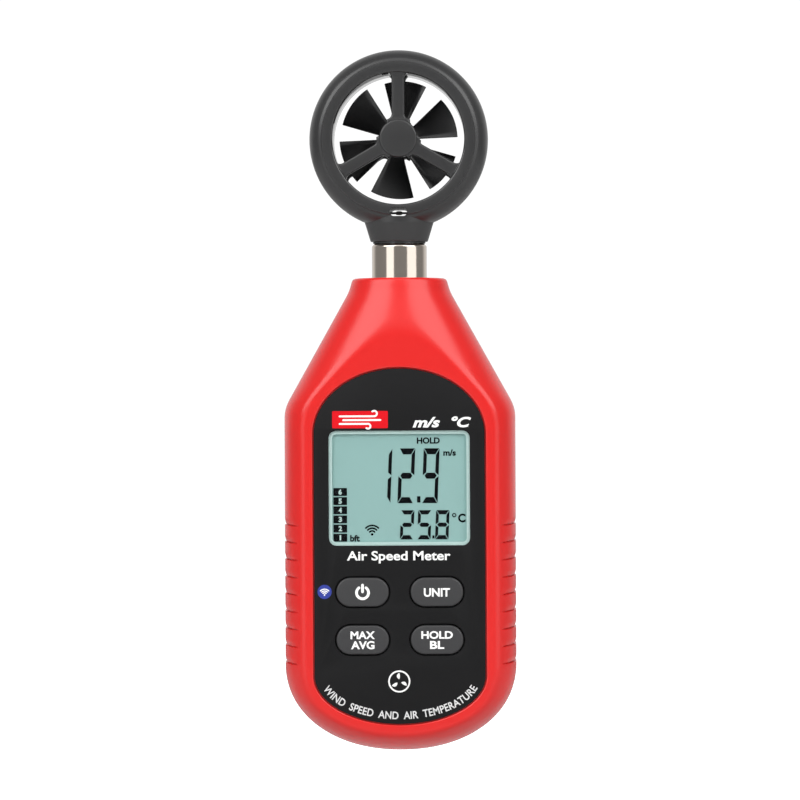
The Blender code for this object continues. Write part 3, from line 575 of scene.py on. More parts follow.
def converted(name: str, curve: bpy.types.Curve, place: Callable[[Array], Array]) -> bpy.types.Object:
    """A curve or lettering as a closed mesh whose points a function puts in place."""
    source = bpy.data.objects.new(f"{name}_source", curve)
    bpy.context.scene.collection.objects.link(source)
    graph = bpy.context.evaluated_depsgraph_get()
    mesh = bpy.data.meshes.new_from_object(source.evaluated_get(graph))
    bpy.data.objects.remove(source)
    points = np.empty(3 * len(mesh.vertices))
    mesh.vertices.foreach_get("co", points)
    faces = [list(face.vertices) for face in mesh.polygons]
    bpy.data.meshes.remove(mesh)
    return to_object(name, place(points.reshape(-1, 3)), faces)


@dataclass(frozen=True)
class Lettering:
    """A line of plain lettering: its words, the size of its box, and the box's middle as (x, height)."""

    words: str
    size: tuple[float, float]
    centre: tuple[float, float]
    bold: float = 0.012
    lean: float = 0.0

    def build(
        self, name: str, front: float, back: float, bend: Callable[[Array, Array], Array] | None = None
    ) -> bpy.types.Object:
        """Builds the lettering between two y values.

        Args:
            name: the piece's name.
            front: y of the letters' faces.
            back: y of their backs.
            bend: takes distances along and above the line and gives (x, height); straight when left out.

        Returns:
            The letters as one mesh.
        """
        curve = bpy.data.curves.new(name, "FONT")
        curve.body = self.words
        curve.offset = self.bold
        curve.shear = self.lean
        curve.extrude = 0.5
        curve.resolution_u = 5

        def place(points: Array) -> Array:
            low, high = points.min(0)[:2], points.max(0)[:2]
            middle = (low + high) / 2
            scaled = (points[:, :2] - middle) / (high - low) * np.array(self.size)
            level = scaled + np.array(self.centre) if bend is None else bend(scaled[:, 0], scaled[:, 1])
            depth = np.where(points[:, 2] > 0, front, back)
            return np.column_stack((level[:, 0], depth, level[:, 1]))

        return converted(name, curve, place)


def combined(target: bpy.types.Object, operation: str, *tools: bpy.types.Object) -> bpy.types.Object:
    """Unites, cuts or trims target with every tool at once, and removes the tools."""
    group = bpy.data.collections.new("tools")
    bpy.context.scene.collection.children.link(group)
    for tool in tools:
        group.objects.link(tool)
    modifier = target.modifiers.new("combine", "BOOLEAN")
    modifier.operation = operation
    modifier.solver = "EXACT"
    modifier.operand_type = "COLLECTION"
    modifier.collection = group
    bpy.context.view_layer.update()
    graph = bpy.context.evaluated_depsgraph_get()
    mesh = bpy.data.meshes.new_from_object(target.evaluated_get(graph))
    target.modifiers.clear()
    target.data = mesh
    for tool in tools:
        bpy.data.objects.remove(tool)
    bpy.data.collections.remove(group)
    return target


def halved(target: bpy.types.Object, y: float, side: Side) -> bpy.types.Object:
    """Keeps the part of a closed mesh on one side of an upright plane, and closes the cut."""
    bm = bmesh.new()
    bm.from_mesh(target.data)
    everything = [*bm.verts, *bm.edges, *bm.faces]
    bmesh.ops.bisect_plane(
        bm, geom=everything, dist=1e-8, plane_co=(0, y, 0), plane_no=(0, -side.value, 0), clear_outer=True
    )
    rim = [edge for edge in bm.edges if edge.is_boundary]
    bmesh.ops.contextual_create(bm, geom=rim)
    bmesh.ops.recalc_face_normals(bm, faces=bm.faces)
    bm.to_mesh(target.data)
    bm.free()
    return target


@dataclass(frozen=True)
class Place:
    """Where the sub-assemblies are: the level of the case's bottom end and of the wind head's centre."""

    foot: float
    head: float

    def settle(
        self,
        obj: bpy.types.Object,
        finish: Finish,
        body: str,
        slot: str,
        replaces: Sequence[str] = (),
        crease: float = 32.0,
    ) -> bpy.types.Object:
        """Moves a piece from case heights into the frame, dresses it and lets it ride on its body.

        Args:
            obj: the piece, with heights measured from the case's bottom end.
            finish: its finish.
            body: the body that it moves with.
            slot: its material slot in the record; not used.
            replaces: the nodes it stands for.
            crease: the angle in degrees over which an edge is kept crisp.

        Returns:
            The piece.
        """
        mesh = obj.data
        mesh.transform(Matrix.Translation((0, 0, self.foot)))
        mesh.materials.clear()
        mesh.materials.append(finish.material())
        mesh.polygons.foreach_set("material_index", np.zeros(len(mesh.polygons), np.int32))
        mesh.shade_smooth()
        mesh.set_sharp_from_angle(angle=math.radians(crease))
        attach(obj, body)
        if replaces:
            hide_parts(*replaces)
        LOG.info("%s: %d faces on %s", obj.name, len(mesh.polygons), body)
        return obj


# ---------------------------------------------------------------- the case

@dataclass
class Case:
    """The moulded red case: front and rear halves, the sliding battery cover and four screws."""

    place: Place
    width: float = 52.8 * MM
    depth: float = 28.0 * MM
    top: float = 107.8 * MM
    wall: float = 2.0 * MM
    end_rise: float = 20.0 * MM
    end_power: float = 2.13
    shoulder: float = 78.2 * MM
    shoulder_blend: float = 1.2 * MM
    taper: float = 0.5567
    neck: float = 104.8 * MM
    neck_radius: float = 11.6 * MM
    top_radius: float = 10.75 * MM
    lip: float = 0.7 * MM
    bulge: float = 18.1 * MM
    lean_bulge: float = 16.8 * MM
    lean_height: float = 72.0 * MM
    rear_bulge: float = 14.5 * MM
    face_rise: float = 12.3 * MM
    rear_rise: float = 9.7 * MM
    face_edge: float = 0.7 * MM
    face_half: float = 22.05 * MM
    face_arch: tuple[float, float] = (72.3 * MM, 17.4 * MM)
    face_foot: tuple[float, float] = (17.6 * MM, 13.5 * MM)
    parting: float = 2.0 * MM
    gap: float = 0.3 * MM
    collar: float = 6.3 * MM
    groove_count: int = 9
    groove_pitch: float = 3.92 * MM
    groove_middle: float = 36.8 * MM
    groove_width: float = 1.5 * MM
    groove_depth: float = 0.55 * MM
    screw_x: float = 20.6 * MM
    screw_heights: tuple[float, float] = (17.0 * MM, 70.0 * MM)
    cover_half: float = 16.5 * MM
    cover_top: float = 62.0 * MM
    cover_inner: float = 8.8 * MM
    columns: int = 264
    groove_step: float = 0.12 * MM
    slit_width: float = 0.24 * MM
    slit_depth: float = 0.32 * MM
    finish: Finish = Finish(
        "red_shell", (0.60, 0.012, 0.0105), 0.27, tone=0.02, smudge=0.0, grain=0.001 * MM, specular=0.42
    )
    steel: Finish = Finish("screw_steel", (0.50, 0.50, 0.51), 0.28, 1.0, tone=0.1)

    def rounded_end(self, height: Array, rise: float, power: float) -> Array:
        """Share of full size above a rounded end: (1 - (1 - height / rise)^power)^(1 / power)."""
        share = np.clip((rise - height) / rise, 0.0, 1.0)
        return (1 - share**power) ** (1 / power)

    def half_width(self, z: Array, inset: float) -> Array:
        """Half the width at each height, a wall's thickness in: full, then tapering, then a short neck."""
        full = (self.width / 2 - inset) * self.rounded_end(z - inset, self.end_rise - inset, self.end_power)
        slope = self.width / 2 - (z - self.shoulder) * self.taper - inset * math.hypot(1, self.taper)
        neck = self.neck_line(z) - inset
        body = soft_least(full, slope, self.shoulder_blend)
        return soft_most(body, np.where(z > self.shoulder, neck, 0), 0.3 * MM)

    def neck_line(self, z: Array) -> Array:
        """Radius of the short neck at the top, with its slope carried on downwards."""
        drop = (self.neck_radius - self.top_radius) / (self.top - self.neck)
        return self.neck_radius - drop * (z - self.neck)

    def lean(self, z: Array, bulge: float, knee: float) -> Array:
        """The front or rear's straight slope from knee up to the neck, and the neck itself."""
        slope = (bulge - self.neck_radius) / (self.neck - knee)
        return soft_most(bulge - slope * (z - knee), self.neck_line(z), 0.3 * MM)

    def front_reach(self, z: Array, inset: float, power: Array) -> Array:
        """How far the front would stand out if it weren't cut flat.

        The flat face has a known edge: half its width is e at each height. The superellipse through that
        edge reaches flat / (1 - (e / w)^p)^(1 / p), where w is half the case's width.
        """
        above = np.clip((z - self.face_arch[0]) / self.face_arch[1], 0.0, 1.0)
        below = np.clip((self.face_foot[0] - z) / self.face_foot[1], 0.0, 1.0)
        edge = self.face_half * np.sqrt(1 - above**2) * np.sqrt(1 - below**2)
        share = np.minimum(edge / np.maximum(self.half_width(z, 0.0), edge + 0.1 * MM), 0.9)
        through = self.depth / 2 / (1 - share**power) ** (1 / power)
        leaning = self.lean(z, self.lean_bulge, self.lean_height)
        full = np.where(z > self.lean_height, soft_most(through, leaning, 0.3 * MM), through)
        full = np.where(z > self.face_arch[0] + self.face_arch[1], leaning, full)
        body = (self.bulge - inset) * self.rounded_end(z - inset, self.face_rise - inset, self.end_power)
        return soft_least(body, full - inset, 0.5 * MM)

    def rear_reach(self, z: Array, inset: float) -> Array:
        """How far the rear would stand out if it weren't cut flat."""
        body = (self.rear_bulge - inset) * self.rounded_end(z - inset, self.rear_rise - inset, self.end_power)
        return soft_least(body, self.lean(z, self.rear_bulge, self.shoulder) - inset, 1.0 * MM)

    def grooves(self, x: Array, z: Array) -> Array:
        """Depth of the finger grooves: a slit that eases out above it, slanting and fading onto the face."""
        first = self.groove_middle - (self.groove_count - 1) / 2 * self.groove_pitch - self.groove_width / 2
        turn = (z - first + 0.12 * (26 * MM - np.abs(x))) / self.groove_pitch
        number = np.floor(turn)
        share = np.clip((turn - number) * self.groove_pitch / self.groove_width, 0.0, 1.0)
        among = (number >= 0) & (number < self.groove_count)
        wide = eased((np.abs(x) - 22.8 * MM) / (3.1 * MM)) * 0.75 * self.groove_depth * (1 - share) ** 1.6
        slit = eased((np.abs(x) - 22.9 * MM) / (1.0 * MM)) * self.slit_depth
        slit = np.where(share * self.groove_width < self.slit_width, slit, 0.0)
        return np.where(among & (share > 0), wide + slit, 0.0)

    def skin(
        self, name: str, inset: float, heights: Array, columns: int, faces: Sequence[float]
    ) -> bpy.types.Object:
        """The case's outer form, or its hollow when inset.

        At each height the outline is a superellipse x = w c / n, y = r s / n with
        n = (|c|^p + |s|^p)^(1/p), whose front and rear are cut flat with a soft edge.
        """
        z = heights[:, None]
        angle = (2 * math.pi * np.arange(columns) / columns)[None]
        along, across = np.cos(angle), np.sin(angle)
        stations = np.array((0, 8, 12, 20, 74, 84, 87, 104.8)) * MM
        front_power = np.interp(z, stations, (2.1, 2.7, 3.0, 3.2, 3.2, 2.6, 2.5, 2.0))
        rear_power = np.interp(z, stations, (2.1, 3.0, 3.9, 4.5, 4.1, 4.02, 4.0, 2.0))
        power = np.where(across > 0, rear_power, front_power)
        spread = (np.abs(along) ** power + np.abs(across) ** power) ** (1 / power)
        edge = self.lip - np.sqrt(np.maximum(self.lip**2 - np.maximum(z - self.top + self.lip, 0) ** 2, 0))
        front = self.front_reach(z, inset, front_power) - edge
        rear = self.rear_reach(z, inset) - edge
        x = (self.half_width(z, inset) - edge) * along / spread
        deep = np.where(across > 0, rear, front) * np.abs(across) / spread
        blend = np.where(across > 0, 0.45 * MM, self.face_edge if inset == 0 else 0.3 * MM)
        limit = np.where(across > 0, faces[1], faces[0])
        y = np.sign(across) * soft_least(deep, limit, blend)
        if inset == 0:
            bite = self.grooves(x, z)
            inward = np.maximum(np.abs(x) - 17 * MM, 1e-6)
            length = np.hypot(inward, y)
            x = x - np.sign(x) * bite * inward / length
            y = y - bite * y / length
        return lofted(name, np.stack(np.broadcast_arrays(x, y, z), -1))

    def outer(self, name: str) -> bpy.types.Object:
        """The whole outer form, closely spaced over the grooves and in round ends."""
        end = self.end_rise * (1 - np.cos(np.radians(np.linspace(0, 84, 40))))
        grip = np.arange(18.3 * MM, 55.6 * MM, self.groove_step)
        body = np.arange(56 * MM, 74 * MM, 1.0 * MM)
        shoulder = np.arange(74.4 * MM, 82.4 * MM, 0.4 * MM)
        cone = np.arange(83 * MM, self.top - self.lip - 0.3 * MM, 0.7 * MM)
        rim = self.top - self.lip + self.lip * np.sin(np.radians(np.linspace(0, 90, 7)))
        heights = np.concatenate((end, grip, body, shoulder, cone, rim))
        return self.skin(name, 0.0, heights, self.columns, (self.depth / 2, self.depth / 2))

    def hollow(self, name: str) -> bpy.types.Object:
        """The space inside the walls."""
        end = self.wall + 18 * MM * (1 - np.cos(np.radians(np.linspace(0, 80, 16))))
        heights = np.concatenate((end, np.arange(21 * MM, 99.5 * MM, 3.9 * MM), [99.5 * MM]))
        return self.skin(name, self.wall, heights, 96, (11.4 * MM, self.depth / 2 - self.wall))

    def collar_seat(self) -> bpy.types.Object:
        """The bore that holds the collar, wider round its flange."""
        bore = self.collar + self.gap
        return turned(
            "collar_seat",
            [
                (0, 110 * MM), (bore, 110 * MM), (bore, 103.9 * MM), (8.7 * MM, 103.9 * MM),
                (8.7 * MM, 101.7 * MM), (bore, 101.7 * MM), (bore, 98 * MM), (0, 98 * MM),
            ],
            Axis.Z, (0, 0, 0),
        )

    def screw_places(self) -> list[tuple[float, float]]:
        """The four (x, height) places of the screws."""
        return [(side * self.screw_x, z) for side in (-1, 1) for z in self.screw_heights]

    def front(self, face: "FacePanel") -> bpy.types.Object:
        """The front half, recessed for the panel and open for the display and keys."""
        shell = halved(self.outer("case_front"), self.parting - self.gap / 2, Side.FRONT)
        combined(shell, "DIFFERENCE", self.hollow("hollow"))
        edge = [(0.3, -13.0), (0.3, -13.75), (0.36, -13.9), (0.5, -13.98), (0.9, -14.06), (2.0, -15)]
        tools = [slab("recess", face.outline, [(growth * MM, y * MM) for growth, y in edge])]
        tools.append(flat("window_opening", [face.window(-0.5 * MM)], -16 * MM, -10 * MM))
        for name, centre in face.keys.items():
            tools.append(flat(f"{name}_opening", [face.key(centre, 0.5 * MM)], -16 * MM, -10 * MM))
        combined(shell, "DIFFERENCE", self.collar_seat(), *tools)
        return self.place.settle(shell, self.finish, "case", "red_shell", ["front_case"])

    def rear(self) -> bpy.types.Object:
        """The rear half, with sunk screw bosses and the opening that the cover slides into."""
        shell = halved(self.outer("case_rear"), self.parting + self.gap / 2, Side.REAR)
        combined(shell, "DIFFERENCE", self.hollow("hollow"))
        bosses, sinks = [], []
        for number, spot in enumerate(self.screw_places()):
            bosses.append(drum(f"boss_{number}", 2.9 * MM, spot, (2.3 * MM, 11.4 * MM)))
            sinks.append(drum(f"sink_{number}", 2.2 * MM, spot, (6 * MM, 20 * MM)))
        combined(shell, "UNION", *bosses)
        edge = self.cover_half + self.gap
        opening = block(
            "cover_opening",
            (-edge, self.cover_inner - self.gap, -10 * MM), (edge, 30 * MM, self.cover_top + self.gap),
        )
        channel = block(
            "channel", (-18.1 * MM, 10.1 * MM, -9 * MM), (18.1 * MM, 11.6 * MM, self.cover_top - 0.4 * MM)
        )
        combined(shell, "DIFFERENCE", self.collar_seat(), opening, channel, *sinks)
        return self.place.settle(shell, self.finish, "case", "red_shell", ["rear_case"])

    def cover(self) -> bpy.types.Object:
        """The battery cover: the rear skin over the cells, its rails and five thumb slots."""
        skin = halved(self.outer("battery_cover_skin"), self.cover_inner, Side.REAR)
        combined(skin, "DIFFERENCE", self.hollow("hollow"))
        span = block(
            "span", (-self.cover_half, self.cover_inner - MM, -10 * MM),
            (self.cover_half, 30 * MM, self.cover_top),
        )
        combined(skin, "INTERSECT", span)
        rails = []
        for side in (-1, 1):
            for name, outer, deep in (("rail", 16.4 * MM, 12.6 * MM), ("tongue", 17.8 * MM, 11.3 * MM)):
                low, high = sorted((side * 14.8 * MM, side * outer))
                corner = (high, deep, self.cover_top - MM)
                rails.append(block(f"{name}_{side}", (low, 10.4 * MM, 16 * MM), corner))
        combined(skin, "UNION", *rails)
        slots = []
        for number in range(5):
            z = 44 * MM - number * 2.2 * MM
            shape = round_box((0, z + 0.45 * MM), (12 * MM, 0.9 * MM), 0.44 * MM, 5)
            slots.append(flat(f"thumb_slot_{number}", [shape], 13.4 * MM, 15 * MM))
        combined(skin, "DIFFERENCE", *slots)
        return self.place.settle(skin, self.finish, "battery_cover", "red_shell", ["battery_cover"])

    def screws(self) -> list[bpy.types.Object]:
        """Four pan-head screws, each with a tapering cross recess."""
        made = []
        head = rounded([(0, 8.1), (1.1, 8.02), (1.75, 7.5), (1.9, 6.9), (1.9, 6.3)], 2)
        shank = [(1.1, 6.3), (1.1, -5.6), (0.5, -6.6), (0, -6.6)]
        profile = np.vstack((head, shank)) * MM
        for number, (x, z) in enumerate(self.screw_places()):
            screw = turned(f"screw_{number + 1}", profile, Axis.Y, (x, 0, z), 40)
            arms = [
                block(f"arm_{turn}", (x - wide, 7.2 * MM, z - tall), (x + wide, 9 * MM, z + tall))
                for turn, (wide, tall) in enumerate(((1.05 * MM, 0.21 * MM), (0.21 * MM, 1.05 * MM)))
            ]
            combined(screw, "DIFFERENCE", *arms)
            made.append(self.place.settle(screw, self.steel, "case", "steel", [f"case_screw_{number + 1}"]))
        return made


# ---------------------------------------------------------------- the panel, the display and the keys

@dataclass
class FacePanel:
    """The black printed panel, its clear window and everything printed on it."""

    place: Place
    half: float = 19.3 * MM
    arch: tuple[float, float] = (72.3 * MM, 14.8 * MM)
    foot: tuple[float, float] = (17.6 * MM, 10.8 * MM)
    front: float = -13.7 * MM
    back: float = -13.3 * MM
    window_size: tuple[float, float] = (31.9 * MM, 25.95 * MM)
    window_height: float = 60.1 * MM
    window_radius: float = 1.7 * MM
    key_size: tuple[float, float] = (11.9 * MM, 6.55 * MM)
    print_depth: float = 0.03 * MM
    keys: dict[str, tuple[float, float]] = field(
        default_factory=lambda: {
            "power_key": (-8.4 * MM, 36.6 * MM),
            "unit_key": (8.4 * MM, 36.6 * MM),
            "max_avg_key": (-8.4 * MM, 25.8 * MM),
            "hold_light_key": (8.4 * MM, 25.8 * MM),
        }
    )
    finish: Finish = Finish(
        "panel_film", (0.0085, 0.0085, 0.009), 0.4, tone=0.12, smudge=0.1, grain=0.0015 * MM, specular=0.12
    )
    clear: Finish = Finish(
        "clear_pane", (0.03, 0.03, 0.03), 0.04, tone=0.0, smudge=0.02, grain=0.0, alpha=0.04
    )
    ink: Finish = Finish("white_ink", (0.80, 0.80, 0.79), 0.45, tone=0.04, grain=0.0)
    grey_ink: Finish = Finish("grey_ink", (0.60, 0.60, 0.60), 0.45, tone=0.04, grain=0.0)
    red_ink: Finish = Finish("red_ink", (0.60, 0.004, 0.010), 0.45, tone=0.05, grain=0.0, specular=0.15)
    blue_ink: Finish = Finish("blue_ink", (0.016, 0.032, 0.26), 0.4, tone=0.05, grain=0.0)

    def outline(self, growth: float = 0.0) -> Array:
        """The panel's edge: straight sides, an arched top and a rounded foot."""
        half = self.half + growth
        top = arc((0, self.arch[0]), (half, self.arch[1] + growth), 0, 180, 73)
        foot = arc((0, self.foot[0]), (half, self.foot[1] + growth), 180, 360, 61)
        return np.vstack((top, foot))

    def window(self, growth: float = 0.0) -> Array:
        """The window's edge."""
        size = (self.window_size[0] + 2 * growth, self.window_size[1] + 2 * growth)
        return round_box((0, self.window_height), size, self.window_radius + growth)

    def key(self, centre: Sequence[float], growth: float = 0.0) -> Array:
        """The edge of a key, which has full round ends."""
        size = (self.key_size[0] + 2 * growth, self.key_size[1] + 2 * growth)
        return round_box(centre, size, size[1] / 2 * 0.985, 13)

    def printed(self, name: str, outlines: list[Array], ink: Finish, layer: int = 1) -> bpy.types.Object:
        """A thin printed shape on the panel. Later layers lie on earlier ones."""
        face = self.front - layer * self.print_depth
        obj = flat(name, outlines, face, self.front - (layer - 1) * self.print_depth + 0.01 * MM)
        return self.place.settle(obj, ink, "case", "black_panel")

    def worded(self, name: str, line: Lettering, ink: Finish, **bend: object) -> bpy.types.Object:
        """A line of lettering on the panel."""
        obj = line.build(name, self.front - self.print_depth, self.front + 0.01 * MM, **bend)
        return self.place.settle(obj, ink, "case", "black_panel")

    def panel(self) -> bpy.types.Object:
        """The panel itself, with its openings."""
        openings = [self.window(), *(self.key(centre, 0.3 * MM) for centre in self.keys.values())]
        obj = flat("panel", [self.outline(), *openings], self.front, self.back, 0.12 * MM)
        linings = [
            flat(
                f"lining_{name}", [self.key(centre, 0.48 * MM), self.key(centre, 0.3 * MM)],
                -13.45 * MM, -11.5 * MM,
            )
            for name, centre in self.keys.items()
        ]
        combined(obj, "UNION", *linings)
        return self.place.settle(obj, self.finish, "case", "black_panel", ["front_panel"], crease=50)

    def pane(self) -> bpy.types.Object:
        """The clear pane over the display."""
        levels = [(-0.1, -13.2), (-0.1, -13.65), (-0.13, -13.72), (-0.2, -13.75)]
        obj = slab("window_pane", self.window, [(growth * MM, y * MM) for growth, y in levels])
        return self.place.settle(obj, self.clear, "case", "clear_window", ["display_window"])

    def wind_lines(self) -> list[Array]:
        """Three gusts with curled ends, as pen strokes."""
        shapes = []
        for start, end, level, radius, turn in (
            (-13.4, -5.6, 76.35, 0.62, 1), (-12.6, -4.2, 75.5, 0.0, 1), (-13.4, -7.0, 74.65, 0.55, -1)
        ):
            run = np.column_stack((np.linspace(start, end, 12), np.full(12, level)))
            if radius:
                centre = (end, level + turn * radius)
                curl = arc(centre, (radius, radius), -90 * turn, 130 * turn, 14)
                run = np.vstack((run, curl[1:]))
            shapes.append(stroke(run * MM, 0.42 * MM))
        return shapes

    def rotor_mark(self) -> list[Array]:
        """A small three-bladed rotor in a ring."""
        centre = np.array((-0.2, 16.4))
        shapes = [arc(centre, (2.5, 2.5), 0, 360, 49)[:-1], arc(centre, (2.15, 2.15), 0, 360, 49)[:-1]]
        for angle in (90, 210, 330):
            spin = math.radians(angle)
            facing = np.array((math.cos(spin), math.sin(spin)))
            aside = np.array((-facing[1], facing[0]))
            along = np.linspace(0.5, 1.9, 15)[:, None]
            swell = 0.62 * np.sin(math.pi * (along - 0.5) / 1.4) ** 0.7
            shapes.append(np.vstack((
                centre + along * facing + 0.9 * swell * aside,
                (centre + along * facing - 0.25 * swell * aside)[::-1][1:-1],
            )))
        return [shape * MM for shape in shapes]

    def wireless(self, centre: Sequence[float], size: float) -> list[Array]:
        """A dot with three arcs over it."""
        x, z = centre
        shapes = [arc((x, z - 0.30 * size), (0.11 * size, 0.11 * size), 0, 360, 17)[:-1]]
        for radius in (0.30, 0.54, 0.78):
            bow = arc((x, z - 0.30 * size), (radius * size, radius * size), 45, 135, 17)
            shapes.append(stroke(bow, 0.145 * size))
        return shapes

    def foot_words(self) -> bpy.types.Object:
        """Lettering that follows the panel's foot, 1.9 mm inside it."""
        inside = 1.9 * MM
        run = arc((0, self.foot[0]), (self.half - inside, self.foot[1] - inside), 180, 360, 400)
        step = np.linalg.norm(np.diff(run, axis=0), axis=1)
        length = np.concatenate(([0], np.cumsum(step)))

        def bend(along: Array, above: Array) -> Array:
            where = along + length[-1] / 2
            point = np.column_stack([np.interp(where, length, run[:, k]) for k in (0, 1)])
            ahead = np.column_stack([np.interp(where + 0.1 * MM, length, run[:, k]) for k in (0, 1)]) - point
            ahead /= np.linalg.norm(ahead, axis=1, keepdims=True)
            return point + above[:, None] * np.column_stack((-ahead[:, 1], ahead[:, 0]))

        line = Lettering("WIND  SPEED  AND  AIR  TEMPERATURE", (37.5 * MM, 1.75 * MM), (0, 0), 0.015)
        return self.worded("foot_words", line, self.grey_ink, bend=bend)

    def build(self) -> None:
        """Builds the panel, the pane and all that is printed."""
        self.panel()
        self.pane()
        plate = round_box((-8.8 * MM, 75.6 * MM), (12.6 * MM, 3.9 * MM), 0.25 * MM)
        self.printed("mark_plate", [plate], self.red_ink)
        self.printed("mark_wind", self.wind_lines(), self.ink, 2)
        units = Lettering("m/s  °C", (13.2 * MM, 2.5 * MM), (9.7 * MM, 75.0 * MM), 0.035, 0.28)
        self.worded("mark_units", units, self.ink)
        title = Lettering("Air Speed Meter", (23.4 * MM, 2.8 * MM), (-0.2 * MM, 44.5 * MM), 0.02)
        self.worded("mark_title", title, self.ink)
        disc = arc((-17.0 * MM, 36.7 * MM), (1.6 * MM, 1.6 * MM), 0, 360, 41)[:-1]
        self.printed("mark_disc", [disc], self.blue_ink)
        self.printed("mark_arcs", self.wireless((-17.0 * MM, 36.5 * MM), 1.7 * MM), self.ink, 2)
        self.printed("mark_rotor", self.rotor_mark(), self.ink)
        self.foot_words()


